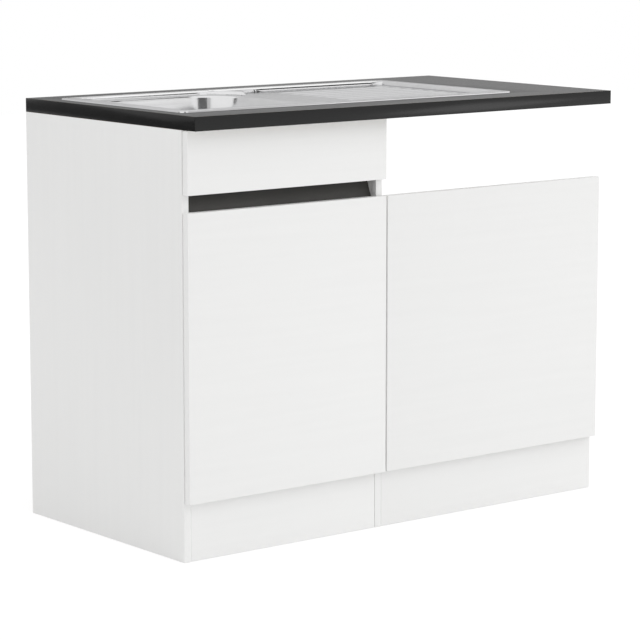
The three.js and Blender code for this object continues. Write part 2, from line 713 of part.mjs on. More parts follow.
// The bowl's rings from its lip down; grow widens them to the outer skin.
function bowlSolid(grow) {
  const ring = (inset, radius, z) => [
    BOWL_WIDTH + 2 * (grow - inset),
    BOWL_LENGTH + 2 * (grow - inset),
    Math.max(radius - inset, BOWL_FILLET) + grow,
    z,
  ];
  const floor = -BOWL_DEPTH - grow;
  const wallFoot = BOWL_FILLET - BOWL_DEPTH;
  const lean = BOWL_LIP + BOWL_DRAFT;
  const half = Math.SQRT1_2;
  return loft([
    ring(0, BOWL_CORNER, grow > 0 ? -SHEET / 2 : SHEET),
    ring(0, BOWL_CORNER, grow > 0 ? -SHEET : 0),
    ring(BOWL_LIP, BOWL_CORNER, -BOWL_LIP),
    ring(lean, BOWL_CORNER, wallFoot),
    ring(lean + BOWL_FILLET * (1 - half), BOWL_CORNER, wallFoot - (BOWL_FILLET + grow) * half),
    ring(lean + BOWL_FILLET, BOWL_CORNER, floor),
  ]);
}

function ribs() {
  const start = BOWL_FIELD_END + DRAINER_CORNER / 2 + RIB_END_MARGIN;
  const end = FIELD_WIDTH / 2 - RIB_END_MARGIN;
  const radius = RIB_WIDTH / 2;
  const outline = rectangle((start + end) / 2, 0, end - start, RIB_WIDTH, Array(4).fill(radius));
  const shapes = [];
  for (let i = 0; i < RIB_COUNT; i++) {
    const y = (i - (RIB_COUNT - 1) / 2) * RIB_PITCH;
    shapes.push(raise(outline, -SHEET / 2, RIB_HEIGHT, 3).translate(0, y, 0));
  }
  return shapes;
}

const WALL_LEAN = Math.atan2(BOWL_DRAFT, BOWL_DEPTH - BOWL_FILLET - BOWL_LIP);
const OVERFLOW_Y = BOWL_LENGTH / 2 - BOWL_LIP - (OVERFLOW_DROP - BOWL_LIP) * Math.tan(WALL_LEAN);

function makeSink() {
  const seat = WORKTOP_HEIGHT + FIT - FIELD;
  const plate = raise(evenRectangle(SINK_WIDTH, SINK_DEPTH, SINK_CORNER), seat, FIELD_DROP);
  const inside = evenRectangle(SINK_WIDTH - 2 * SHEET, SINK_DEPTH - 2 * SHEET, SINK_CORNER - SHEET);
  const hollow = raise(inside, seat - 1, FIELD_DROP - SHEET);
  const rim = cut(plate, hollow);
  const outer = bowlSolid(SHEET).translate(BOWL_X, 0, 0);
  const recess = bar(DRAIN_RECESS + SHEET, DRAIN_RECESS_DEPTH + SHEET, 32);
  recess.translate(BOWL_X, 0, -BOWL_DEPTH - DRAIN_RECESS_DEPTH - SHEET);
  const skins = fields(SHEET, -SHEET, FIELD_DROP - SHEET / 2);
  const body = join(rim, ...skins, outer, recess);

  const openFields = fields(0, 0, FIELD_DROP + 1);
  const inner = bowlSolid(0).translate(BOWL_X, 0, 0);
  const seatCut = bar(DRAIN_RECESS, DRAIN_RECESS_DEPTH + 1, 32);
  seatCut.translate(BOWL_X, 0, -BOWL_DEPTH - DRAIN_RECESS_DEPTH);
  const hole = bar(DRAIN_HOLE, BOWL_DEPTH / 2, 32).translate(BOWL_X, 0, -BOWL_DEPTH * 1.25);
  const overflow = bar(OVERFLOW_RADIUS, BOWL_LIP * 4, 24).translate(0, 0, -BOWL_LIP * 2);
  overflow.rotateX(-Math.PI / 2 - WALL_LEAN).translate(BOWL_X, OVERFLOW_Y, -OVERFLOW_DROP);
  const pressed = cut(body, ...openFields, inner, seatCut, hole, overflow);
  place(sink, "sink_basin", join(pressed, ...ribs()), stainless);
}

// The foam strip between the rim's turned-down edge and the cut-out.
function makeGasket() {
  const inset = 2 * (SHEET + FIT);
  const outline = evenRectangle(SINK_WIDTH - inset, SINK_DEPTH - inset, SINK_CORNER - inset / 2);
  const bore = inset + 2 * GASKET_WIDTH;
  const inner = evenRectangle(SINK_WIDTH - bore, SINK_DEPTH - bore, SINK_CORNER / 3);
  outline.holes.push(inner);
  const floor = WORKTOP_HEIGHT + FIT - FIELD;
  place(sink, "sink_gasket", raise(outline, floor, FIELD_DROP - SHEET - FIT), darkRubber);
}

// A clamp hooks under the rim, drops through the cut-out and grips the worktop's underside.
function sinkClamp() {
  const top = FIELD_DROP - SHEET - FIT;
  const under = UNDERSIDE - FIT - FIELD;
  const section = new THREE.Shape();
  section.moveTo(0, top);
  section.lineTo(BRACKET_SHEET, top);
  section.lineTo(BRACKET_SHEET, under);
  section.lineTo(CLAMP_FOOT, under);
  section.lineTo(CLAMP_FOOT, under - BRACKET_SHEET);
  section.lineTo(0, under - BRACKET_SHEET);
  return carry(section, CLAMP_WIDTH);
}

function makeClamps() {
  for (const [name, x, side] of clampSeats) {
    const shape = sinkClamp();
    if (side < 0) shape.rotateZ(Math.PI);
    place(sink, `sink_clamp_${name}`, shape, zinc, x, side * CLAMP_Y, 0);
  }
}

// ---------------------------------------------------------------- drain, overflow and trap

const RECESS_FLOOR = -DRAIN_RECESS_DEPTH; // from the bowl's floor
const NECK = DRAIN_HOLE - FIT; // the flange's neck through the hole
const BORE = NECK - PIPE_WALL;
const CUP_TOP = RECESS_FLOOR - SHEET - PIPE_WALL - 2 * FIT; // under the washer
const CUP_FOOT = CUP_TOP - STRAINER_CUP_DEPTH;
const OUTLET_FOOT = CUP_FOOT - OUTLET_LENGTH;
const CUP_BORE = DRAIN_HOLE + FIT;
const CUP_RIM = CUP_BORE + PIPE_WALL; // the cup's outer radius
const PORT_Z = CUP_TOP - PORT_DROP;

function makeStrainer() {
  const ringTop = RECESS_FLOOR + FIT + PIPE_WALL;
  const ringFoot = RECESS_FLOOR + FIT;
  const neckFoot = CUP_TOP - NECK_LENGTH;
  const flange = turn([
    [BORE, ringFoot],
    [DRAIN_RECESS - FIT, ringTop],
    [DRAIN_RECESS - FIT, ringFoot],
    [NECK, ringFoot],
    [NECK, neckFoot],
    [BORE, neckFoot],
  ].reverse());
  place(drain, "strainer_flange", flange, stainless);

  const plugRadius = BORE - FIT;
  const plugFoot = CUP_TOP - PLUG_DEPTH;
  const knob = KNOB_RADIUS;
  const plug = turn([
    [0, plugFoot],
    [plugRadius, plugFoot],
    [plugRadius, ringFoot],
    [plugRadius - PIPE_WALL, ringFoot],
    [knob * 2, ringFoot - knob],
    [knob / 2, ringFoot - knob],
    [knob / 2, ringFoot + knob / 2],
    [knob, ringFoot + knob],
    [knob, ringFoot + knob * 1.5],
    [0, ringFoot + knob * 1.5],
  ]);
  place(drain, "strainer_plug", plug, stainless);

  const washerTop = RECESS_FLOOR - SHEET - FIT;
  const washer = turn([
    [DRAIN_HOLE, washerTop - PIPE_WALL],
    [DRAIN_RECESS, washerTop - PIPE_WALL],
    [DRAIN_RECESS, washerTop],
    [DRAIN_HOLE, washerTop],
  ]);
  place(drain, "strainer_washer", washer, darkRubber);
}

function makeStrainerCup() {
  const shoulder = CUP_TOP - STRAINER_CUP_WALL;
  const shell = turn([
    [OUTLET_RADIUS, OUTLET_FOOT],
    [OUTLET_RADIUS, CUP_FOOT],
    [CUP_RIM, shoulder],
    [CUP_RIM, CUP_TOP - PIPE_WALL],
    [DRAIN_RECESS, CUP_TOP - PIPE_WALL],
    [DRAIN_RECESS, CUP_TOP],
    [CUP_BORE, CUP_TOP],
    [CUP_BORE, shoulder + PIPE_WALL],
    [OUTLET_RADIUS - PIPE_WALL, CUP_FOOT + PIPE_WALL],
    [OUTLET_RADIUS - PIPE_WALL, OUTLET_FOOT],
  ]);
  const port = bar(OVERFLOW_PIPE + PIPE_WALL, PORT_LENGTH, 16).rotateX(-Math.PI / 2);
  port.translate(0, CUP_RIM - PIPE_WALL / 2, PORT_Z);
  place(drain, "strainer_cup", join(shell, port), whitePlastic);
}

function makeOverflow() {
  const head = groupAt(bowl, 0, OVERFLOW_Y, -OVERFLOW_DROP);
  head.rotation.x = -Math.PI / 2 - WALL_LEAN; // +z of this group runs out through the wall
  const cap = turn(
    [
      [0, -FIT - PIPE_WALL * 2],
      [OVERFLOW_COVER - PIPE_WALL * 2, -FIT - PIPE_WALL * 2],
      [OVERFLOW_COVER, -FIT - PIPE_WALL],
      [OVERFLOW_COVER, -FIT],
      [OVERFLOW_RADIUS - FIT, -FIT],
      [OVERFLOW_RADIUS - FIT, SHEET],
      [0, SHEET],
    ],
    24,
  );
  place(head, "overflow_cover", cap, stainless);

  const back = SHEET + FIT;
  const elbow = turn(
    [
      [0, back],
      [ELBOW_FLANGE, back],
      [ELBOW_FLANGE, back + PIPE_WALL * 2],
      [OVERFLOW_RADIUS, back + PIPE_WALL * 3],
      [OVERFLOW_RADIUS, back + ELBOW_DEPTH],
      [0, back + ELBOW_DEPTH],
    ],
    24,
  );
  place(head, "overflow_elbow", elbow, whitePlastic);
}

// The overflow pipe drops from the elbow behind the bowl and turns forward into the cup.
function makeOverflowPipe() {
  const behind = SHEET + FIT + ELBOW_DEPTH - OVERFLOW_PIPE - FIT;
  const elbowFoot = OVERFLOW_RADIUS / Math.cos(WALL_LEAN) + behind * Math.tan(WALL_LEAN);
  const y = OVERFLOW_Y + behind;
  const top = -OVERFLOW_DROP - elbowFoot - OVERFLOW_PIPE * Math.tan(WALL_LEAN) - FIT;
  const port = PORT_Z - BOWL_DEPTH;
  const portEnd = CUP_RIM - PIPE_WALL / 2 + PORT_LENGTH;
  const bend = OVERFLOW_BEND;
  const route = new THREE.CurvePath();
  const at = (along, height) => new THREE.Vector3(0, along, height);
  route.add(new THREE.LineCurve3(at(y, top), at(y, port + bend)));
  route.add(new THREE.QuadraticBezierCurve3(at(y, port + bend), at(y, port), at(y - bend, port)));
  route.add(new THREE.LineCurve3(at(y - bend, port), at(portEnd + FIT, port)));
  const section = new THREE.Shape().absarc(0, 0, OVERFLOW_PIPE, 0, 2 * Math.PI);
  const options = { steps: 24, extrudePath: route, curveSegments: 6 };
  place(bowl, "overflow_pipe", new THREE.ExtrudeGeometry(section, options), whitePlastic);
}

function makeTrap() {
  const sleeve = OUTLET_RADIUS + FIT;
  const shoulder = OUTLET_FOOT + OUTLET_LENGTH / 3;
  const seam = shoulder - TRAP_HEIGHT;
  const outer = TRAP_RADIUS;
  const inner = TRAP_RADIUS - PIPE_WALL;
  const shell = turn(
    [
      [outer, seam],
      [outer, shoulder - PIPE_WALL * 3],
      [sleeve + PIPE_WALL * 2, shoulder],
      [sleeve + PIPE_WALL * 2, CUP_FOOT - FIT * 2],
      [sleeve, CUP_FOOT - FIT * 2],
      [sleeve, shoulder - PIPE_WALL],
      [inner, shoulder - PIPE_WALL * 4],
      [inner, seam],
    ],
    24,
  );
  const armZ = seam + TRAP_HEIGHT / 2;
  const arm = bar(OUTLET_RADIUS + PIPE_WALL + FIT, TRAP_RADIUS + TRAP_ARM, 20);
  arm.rotateX(-Math.PI / 2).translate(0, 0, armZ);
  const bore = bar(OUTLET_RADIUS + FIT, TRAP_RADIUS * 3, 20).rotateX(-Math.PI / 2);
  bore.translate(0, 0, armZ);
  const room = bar(inner, TRAP_HEIGHT - PIPE_WALL * 4, 24).translate(0, 0, seam);
  const body = cut(join(shell, arm), bore, room);
  place(drain, "trap_body", body, whitePlastic);

  const cupTop = seam - FIT;
  const cupFoot = cupTop - TRAP_CUP_HEIGHT;
  const cup = turn(
    [
      [0, cupFoot],
      [inner, cupFoot],
      [outer, cupFoot + PIPE_WALL * 2],
      [outer, cupTop],
      [inner, cupTop],
      [inner, cupFoot + PIPE_WALL * 2],
      [0, cupFoot + PIPE_WALL * 2],
    ],
    24,
  );
  place(drain, "trap_cup", cup, whitePlastic);

  const start = TRAP_RADIUS + PIPE_WALL;
  const length = BACK - start;
  const ring = new THREE.Shape().absarc(0, 0, OUTLET_RADIUS, 0, 2 * Math.PI);
  ring.holes.push(new THREE.Path().absarc(0, 0, OUTLET_RADIUS - PIPE_WALL, 0, 2 * Math.PI, true));
  const pipe = raise(ring, 0, length, 10).rotateX(-Math.PI / 2);
  place(drain, "trap_outlet_pipe", pipe, whitePlastic, 0, start, armZ);
}

// ---------------------------------------------------------------- the whole unit

makeWorktop();
makeSidePanels();
makeBottomPanel();
makeRails();
makeCamFittings();
makeWorktopBrackets();
makeFascia();
makeGripChannel();
makeDoor();
makeHinges();
makePlinth();
makeDishwasherPlace();
makeSink();
makeGasket();
makeClamps();
makeStrainer();
makeStrainerCup();
makeOverflow();
makeOverflowPipe();
makeTrap();

export default unit;
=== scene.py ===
"""The visible surfaces of a 110 cm kitchen sink unit, and the studio it stands in.

The unit's solids come as a fixed frame, in metres: the origin lies on the floor under the centre of
the worktop, x runs to the right, y to the wall and z up. Sizes in this script are millimetres.
"""

import math

import bmesh
import bpy
import numpy as np
from bpy.props import FloatProperty, FloatVectorProperty, IntProperty, PointerProperty
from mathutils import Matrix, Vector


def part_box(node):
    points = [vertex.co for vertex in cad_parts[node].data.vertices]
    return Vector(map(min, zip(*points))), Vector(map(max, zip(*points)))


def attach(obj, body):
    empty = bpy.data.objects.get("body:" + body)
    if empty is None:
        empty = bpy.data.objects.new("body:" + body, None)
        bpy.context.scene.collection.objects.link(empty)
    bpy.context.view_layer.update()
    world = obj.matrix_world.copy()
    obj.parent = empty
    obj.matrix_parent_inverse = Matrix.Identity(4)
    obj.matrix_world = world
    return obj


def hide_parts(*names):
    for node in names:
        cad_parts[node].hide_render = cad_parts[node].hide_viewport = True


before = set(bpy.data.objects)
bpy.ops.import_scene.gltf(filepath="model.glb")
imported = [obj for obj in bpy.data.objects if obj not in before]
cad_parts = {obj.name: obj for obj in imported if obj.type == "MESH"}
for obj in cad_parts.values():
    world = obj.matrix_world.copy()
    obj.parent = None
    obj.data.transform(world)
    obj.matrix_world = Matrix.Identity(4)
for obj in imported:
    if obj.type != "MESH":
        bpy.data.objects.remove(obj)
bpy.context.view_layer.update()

bl_info = {
    "name": "Kitchen sink unit",
    "version": (1, 0, 0),
    "blender": (4, 5, 0),
    "location": "3D View > Sidebar > Sink unit",
    "description": "Builds the visible surfaces of a 110 cm kitchen sink unit",
    "category": "Add Mesh",
}

METRE = 1000.0

# ---------------------------------------------------------------- sizes of the unit, in millimetres

SHEET = 0.8  # steel of the sink
RIM_EDGE = 3.0  # height of the rim's edge
RIM_ROUND = 1.0  # radius of the rim's upper edge
RIM_LEAN = 77.0  # degrees
FIELD_DROP = 7.0  # from the rim's top to the sunk fields
STEP_FOOT = 0.4  # radius at the foot of the step into a field
STEP_LEAN = 78.0  # degrees
EDGE_HOLD = 0.03  # how near to a bend the mesh's lines lie that keep the next face's shading flat
LAND_SLOPE = 1.4  # how much lower the land at the back is at its inner edge
LAND_RAMP = (18.0, 2.0)  # before the fields' back edge, where the land's slope starts and ends
LAND_FADE = (25.0, 5.0)  # before the fields' ends, where the land's slope fades out
RIM_BORDER = 30.0
SINK_CORNER = 12.0
BOWL_MARGIN = 37.0  # from the rim's left edge to the bowl
BOWL_WIDTH = 334.0
BOWL_LENGTH = 340.0
BOWL_DEPTH = 150.0
BOWL_CORNER = 80.0
BOWL_LIP = 5.0
BOWL_DRAFT = 7.0
BOWL_FILLET = 26.0
WALL_FADE = 3.0
BOWL_FIELD_CORNER = 78.0
BOWL_FIELD_MARGIN = 33.0
DRAINER_CORNER = 110.0
CORNER_SPAN = 132.0  # from the seam to the end of the drainer's large round corner
CORNER_START = 72.0  # from the sink's middle line to the start of that corner
SEAM_MARGIN = 9.0  # from the bowl to where the mesh round it meets the drainer's mesh
DRAIN_HOLE = 44.0  # radius
DRAIN_RECESS = 57.0  # radius
DRAIN_RECESS_DEPTH = 2.5
RIB_COUNT = 7
RIB_PITCH = 38.0
RIB_WIDTH = 14.0
RIB_END_MARGIN = 34.0
OVERFLOW_DROP = 50.0
OVERFLOW_RADIUS = 15.0

BRACKET_SHEET = 2.0
SCREW_SEAT = 14.0  # from a bracket's corner to its screws
CAM_RADIUS = 7.5
CAM_DEPTH = 12.5
BOLT_RADIUS = 3.5
PIPE_WALL = 2.0
OUTLET_RADIUS = 20.0
WASTE_SHOULDER = 36.0  # from the strainer cup's rim down to its shoulder
WASTE_FOOT = 52.0  # from the rim down to the foot of its funnel
WASTE_PORT = 16.0  # from the rim down to the axis of its overflow port
TRAP_SHOULDER = 74.0  # from the trap body's foot up to its shoulder
TRAP_ARM = 37.0  # from the foot up to its arm's axis
TRAP_ARM_START = 30.0  # from the body's axis to the arm's inner end
NUT_RADIUS = 27.5  # the nut on the trap's sleeve
NUT_HEIGHT = 16.0
NUT_RIBS = 30
NUT_GROOVE = 0.9
ARM_NUT_RADIUS = 26.0
ARM_NUT_LENGTH = 17.0
ARM_NUT_RIBS = 28
TRAP_CUP_RIBS = 32
ELBOW_FLANGE = 24.0  # radius
ELBOW_DEPTH = 30.0
HOSE_RADIUS = 10.0
HOSE_BEND = 30.0
HOSE_GROOVE = 1.5
HOSE_CUFF = 12.0
CUP_RADIUS = 17.5
CUP_DEPTH = 11.5
CUP_WALL = 1.0
CUP_WING = 24.0  # width of the wings above and below it
TUNER_PLACES = (8.0, 24.0)  # the adjusting screws, from the hinge arm's rear end
PLATE_SCREW = 8.0  # from a mounting plate's end to its screw
CLAMP_SCREW = 0.62  # how far along a sink clamp its screw sits
BOLT_PLACE = 8.0  # from a cam's face to its bolt's axis
PLUG_SLOTS = 12
KNOB_RADIUS = 10.0
COVER_RADIUS = 22.5  # the cover over the overflow
COVER_EDGE = 2.6  # how far its edge stands off the bowl's wall
COVER_RISE = 1.7  # how much its dome rises over its edge
COVER_HOLES = 10
COVER_HOLE_RING = 13.5  # radius
COVER_HOLE = 2.4  # radius
GRIP_DEPTH = 32.0
GRIP_HEIGHT = 64.0
GRIP_LIP = 8.0
GRIP_SHEET = 2.0
GRIP_CHAMFER = 0.4


def corners(node):
    """The lowest and highest corner of a node of the frame, in millimetres."""
    low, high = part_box(node)
    return np.array(low) * METRE, np.array(high) * METRE


# ---------------------------------------------------------------- settings a user would change


class BoardSettings(bpy.types.PropertyGroup):
    """Colours and edges of the boards"""

    white: FloatVectorProperty(
        name="White", description="Colour of the boards' faces", subtype="COLOR",
        size=3, min=0, max=1, default=(0.9, 0.9, 0.893),
    )
    chipboard: FloatVectorProperty(
        name="Chipboard", description="Colour of the boards' raw edges", subtype="COLOR",
        size=3, min=0, max=1, default=(0.50, 0.37, 0.235),
    )
    edge: FloatProperty(
        name="Edge", description="How far the boards' edges are rounded", unit="LENGTH",
        min=0.0001, max=0.002, default=0.0009,
    )


class WorktopSettings(bpy.types.PropertyGroup):
    """Colours and edges of the worktop"""

    top: FloatVectorProperty(
        name="Top", description="Colour of the worktop's laminate", subtype="COLOR",
        size=3, min=0, max=1, default=(0.024, 0.024, 0.0245),
    )
    band: FloatVectorProperty(
        name="Edge band", description="Colour of the worktop's edge bands", subtype="COLOR",
        size=3, min=0, max=1, default=(0.008, 0.008, 0.008),
    )
    edge: FloatProperty(
        name="Edge", description="How far the worktop's edges are rounded", unit="LENGTH",
        min=0.0001, max=0.0007, default=0.0004,
    )


class SinkSettings(bpy.types.PropertyGroup):
    """Steel, steps and ribs of the sink"""

    steel: FloatVectorProperty(
        name="Steel", description="Colour of the stainless steel", subtype="COLOR",
        size=3, min=0, max=1, default=(0.78, 0.78, 0.785),
    )
    step: FloatProperty(
        name="Step", description="Radius of the steps' upper edge round the sunk fields", unit="LENGTH",
        min=0.002, max=0.007, default=0.006,
    )
    rib: FloatProperty(
        name="Rib", description="Height of the drainer's ribs", unit="LENGTH",
        min=0.0005, max=0.0025, default=0.0015,
    )


class FittingSettings(bpy.types.PropertyGroup):
    """Colours of the metal fittings"""

    zinc: FloatVectorProperty(
        name="Zinc", description="Colour of the zinc-plated fittings", subtype="COLOR",
        size=3, min=0, max=1, default=(0.66, 0.67, 0.68),
    )
    nickel: FloatVectorProperty(
        name="Nickel", description="Colour of the nickel-plated hinges", subtype="COLOR",
        size=3, min=0, max=1, default=(0.74, 0.735, 0.72),
    )
    grip: FloatVectorProperty(
        name="Grip", description="Colour of the grip channel", subtype="COLOR",
        size=3, min=0, max=1, default=(0.069, 0.067, 0.062),
    )


class WasteSettings(bpy.types.PropertyGroup):
    """Colours of the trap and seals, and the hose's ribs"""

    plastic: FloatVectorProperty(
        name="Plastic", description="Colour of the trap and pipes", subtype="COLOR",
        size=3, min=0, max=1, default=(0.86, 0.86, 0.85),
    )
    rubber: FloatVectorProperty(
        name="Rubber", description="Colour of the seals", subtype="COLOR",
        size=3, min=0, max=1, default=(0.03, 0.03, 0.032),
    )
    ribs: IntProperty(
        name="Hose ribs", description="Number of ribs on the overflow hose",
        min=10, max=90, default=46,
    )


class StageSettings(bpy.types.PropertyGroup):
    """Camera and light of the stage"""

    lens: FloatProperty(
        name="Lens", description="Focal length in millimetres on a 36 mm sensor",
        min=20, max=300, default=151.36,
    )
    daylight: FloatProperty(
        name="Daylight", description="Strength of the light from all round",
        min=0, max=2, default=0.85,
    )
    sun: FloatProperty(
        name="Soft lamp", description="Strength of the soft lamp at the front",
        min=0, max=5, default=0.55,
    )


# ---------------------------------------------------------------- finishes


class Finish:
    """A material whose pattern is made of nodes that read Object coordinates."""

    def __init__(self, name, **sockets):
        self.material = bpy.data.materials.new(name)
        self.material.use_nodes = True
        self.tree = self.material.node_tree
        self.shader = self.tree.nodes["Principled BSDF"]
        self.place = self.node("ShaderNodeTexCoord").outputs["Object"]
        self.shade(**sockets)

    def node(self, kind, sockets=None, **settings):
        """Adds a node; a socket's value is a number, a colour or another node's output."""
        made = self.tree.nodes.new(kind)
        for key, value in settings.items():
            setattr(made, key, value)
        for key, value in (sockets or {}).items():
            self.plug(made, key, value)
        return made

    def plug(self, node, key, value):
        """Links another node's output to a node's socket, or sets the socket to a value."""
        if isinstance(value, bpy.types.NodeSocket):
            self.tree.links.new(value, node.inputs[key])
        else:
            node.inputs[key].default_value = value

    def shade(self, **sockets):
        """Sets the shader's sockets: base_color is Base Color."""
        for key, value in sockets.items():
            words = key.replace("_", " ").title().replace("Ior", "IOR")
            if key.endswith("color"):
                value = (*value, 1.0) if not isinstance(value, bpy.types.NodeSocket) else value
            self.plug(self.shader, words, value)
        return self

    def noise(self, scale, stretch=(1, 1, 1), detail=3.0, roughness=0.5):
        """Soft noise, scale cells to the metre, finer along an axis whose stretch is larger."""
        mapping = self.node("ShaderNodeMapping", {"Vector": self.place, "Scale": stretch})
        sockets = {
            "Vector": mapping.outputs["Vector"],
            "Scale": scale,
            "Detail": detail,
            "Roughness": roughness,
        }
        return self.node("ShaderNodeTexNoise", sockets).outputs["Fac"]

    def cells(self, scale, stretch=(1, 1, 1), output="Color"):
        """Cells of random size, as flakes of wood or the crystals of a zinc coat."""
        mapping = self.node("ShaderNodeMapping", {"Vector": self.place, "Scale": stretch})
        sockets = {"Vector": mapping.outputs["Vector"], "Scale": scale}
        return self.node("ShaderNodeTexVoronoi", sockets).outputs[output]

    def spread(self, value, low, high, start=0.3, end=0.7):
        """Carries a value from start..end to low..high."""
        sockets = {"Value": value, "From Min": start, "From Max": end, "To Min": low, "To Max": high}
        return self.node("ShaderNodeMapRange", sockets).outputs["Result"]

    def tones(self, value, dark, pale, start=0.3, end=0.7):
        """A colour between dark and pale, led by a value."""
        factor = self.spread(value, 0.0, 1.0, start, end)
        mix = self.node("ShaderNodeMix", data_type="RGBA")
        self.tree.links.new(factor, mix.inputs[0])
        mix.inputs[6].default_value = (*dark, 1)
        mix.inputs[7].default_value = (*pale, 1)
        return mix.outputs[2]

    def relief(self, value, depth, strength=0.5):
        """Raises the surface by a value, depth millimetres at most."""
        sockets = {"Height": value, "Distance": depth / METRE, "Strength": strength}
        bump = self.node("ShaderNodeBump", sockets)
        self.plug(self.shader, "Normal", bump.outputs["Normal"])
        return self


def shaded(color, factor):
    """A colour made darker or paler by a factor."""
    return tuple(channel * factor for channel in color)


FINISHES = {}


def finish(maker):
    """Keeps each finish, so that the pieces that share one share its material."""

    def once(*settings):
        key = (maker.__name__, *(tuple(s) if hasattr(s, "__len__") else s for s in settings))
        if key not in FINISHES:
            FINISHES[key] = maker(*settings)
        return FINISHES[key]

    return once


@finish
def white_melamine(white, grain):
    """White melamine face: a fine even pebble, with very faint streaks along its grain."""
    made = Finish("white_melamine_" + grain, specular_ior_level=0.5)
    along = {"x": (1.2, 30, 30), "z": (30, 30, 1.2)}[grain]
    streaks = made.noise(2.2, along, 4.0, 0.6)
    made.shade(base_color=made.tones(streaks, shaded(white, 0.985), white))
    pebble = made.noise(900.0, detail=2.0)
    made.shade(roughness=made.spread(pebble, 0.40, 0.52))
    return made.relief(pebble, 0.03, 0.25).material


@finish
def raw_chipboard(color):
    """Raw chipboard: flakes of three sizes pressed together, with dark glue and pores."""
    made = Finish("raw_chipboard", specular_ior_level=0.25)
    flakes = made.cells(420.0, (1.0, 1.0, 1.7), "Distance")
    wood = made.tones(flakes, shaded(color, 0.72), shaded(color, 1.18), 0.1, 0.75)
    dust = made.noise(1500.0, detail=4.0)
    mix = made.node("ShaderNodeMix", data_type="RGBA", blend_type="MULTIPLY")
    mix.inputs[0].default_value = 0.55
    made.tree.links.new(wood, mix.inputs[6])
    made.tree.links.new(made.tones(dust, (0.55, 0.5, 0.42), (1, 1, 1), 0.35, 0.6), mix.inputs[7])
    made.shade(base_color=mix.outputs[2], roughness=0.85)
    return made.relief(dust, 0.35, 0.6).material


@finish
def backing_paper(color):
    """Backing paper on the worktop's underside: pale grey, a little cloudy."""
    made = Finish("backing_paper", roughness=0.7)
    clouds = made.noise(14.0, detail=5.0)
    made.shade(base_color=made.tones(clouds, shaded(color, 0.93), color))
    return made.relief(made.noise(1200.0), 0.03, 0.3).material


@finish
def anthracite_laminate(color):
    """Anthracite laminate: a fine matt stone grain, with paler and darker grains in it."""
    made = Finish("anthracite_laminate", specular_ior_level=0.36)
    grains = made.noise(700.0, detail=4.0, roughness=0.7)
    made.shade(base_color=made.tones(grains, shaded(color, 0.72), shaded(color, 1.32)))
    made.shade(roughness=made.spread(made.noise(420.0), 0.38, 0.5))
    return made.relief(grains, 0.05, 0.35).material


@finish
def anthracite_band(color):
    """Anthracite edge band: smooth plastic with a fine brushed grain along it."""
    made = Finish("anthracite_band", specular_ior_level=0.3)
    grains = made.noise(90.0, (0.25, 0.25, 9.0), 4.0, 0.65)
    made.shade(base_color=made.tones(grains, shaded(color, 0.88), shaded(color, 1.12)))
    made.shade(roughness=made.spread(grains, 0.13, 0.19))
    return made.relief(made.noise(800.0), 0.01, 0.2).material


@finish
def grip_coat(color):
    """Powder coat of the grip channel: dark, satin, with a fine orange peel."""
    made = Finish("grip_coat")
    peel = made.noise(650.0, detail=2.0)
    clouds = made.noise(16.0, (0.3, 1, 1))
    made.shade(base_color=made.tones(clouds, shaded(color, 0.9), shaded(color, 1.1)))
    made.shade(roughness=made.spread(peel, 0.42, 0.52))
    return made.relief(peel, 0.03, 0.3).material


@finish
def satin_steel(color):
    """Satin stainless steel: fine brush lines from left to right, with faint cloudy rolling marks."""
    made = Finish("satin_steel", metallic=1.0, specular_tint=(0.72, 0.72, 0.725, 1.0))
    lines = made.noise(60.0, (0.12, 26.0, 26.0), 6.0, 0.7)
    clouds = made.noise(9.0, (1.0, 2.4, 2.4), 3.0)
    made.shade(base_color=made.tones(clouds, shaded(color, 0.955), shaded(color, 1.02)))
    made.shade(roughness=made.spread(lines, 0.12, 0.2))
    return made.relief(lines, 0.006, 0.25).material


@finish
def polished_steel_painted_highlight(color):
    """Polished stainless steel: nearly a mirror, with faint cloudy rolling marks. The sink's land gets it
    in a paler colour than the satin steel, a painted highlight.
    """
    made = Finish("polished_steel_painted_highlight", metallic=1.0)
    clouds = made.noise(9.0, (1.0, 2.4, 2.4), 3.0)
    made.shade(base_color=made.tones(clouds, shaded(color, 0.98), shaded(color, 1.01)))
    made.shade(roughness=made.spread(clouds, 0.05, 0.08))
    return made.material


@finish
def bright_zinc(color):
    """Bright zinc plate: small flat crystals, each a little lighter or duller than the next."""
    made = Finish("bright_zinc", metallic=1.0)
    crystals = made.cells(260.0)
    wear = made.noise(130.0, detail=5.0)
    made.shade(base_color=made.tones(wear, shaded(color, 0.88), shaded(color, 1.06)))
    made.shade(roughness=made.spread(crystals, 0.28, 0.46, 0.0, 1.0))
    return made.relief(wear, 0.02, 0.3).material


@finish
def nickel_plate(color):
    """Nickel plate on pressed steel: smooth, with faint drawing lines."""
    made = Finish("nickel_plate", metallic=1.0)
    lines = made.noise(240.0, (4.0, 4.0, 0.6), 3.0)
    made.shade(base_color=made.tones(lines, shaded(color, 0.94), color))
    made.shade(roughness=made.spread(lines, 0.16, 0.26))
    return made.relief(lines, 0.01, 0.25).material


@finish
def moulded_plastic(color):
    """Moulded white plastic: satin, with a slight unevenness in tone and gloss."""
    made = Finish("moulded_plastic", subsurface_weight=0.0)
    clouds = made.noise(22.0, detail=4.0)
    made.shade(base_color=made.tones(clouds, shaded(color, 0.965), color))
    made.shade(roughness=made.spread(made.noise(500.0), 0.30, 0.40))
    return made.relief(clouds, 0.08, 0.2).material


@finish
def soft_rubber(color):
    """Black rubber: matt and finely pitted."""
    made = Finish("soft_rubber", specular_ior_level=0.35)
    pits = made.noise(900.0, detail=3.0)
    made.shade(base_color=made.tones(pits, shaded(color, 0.8), shaded(color, 1.3)))
    made.shade(roughness=made.spread(pits, 0.7, 0.85))
    return made.relief(pits, 0.05, 0.4).material


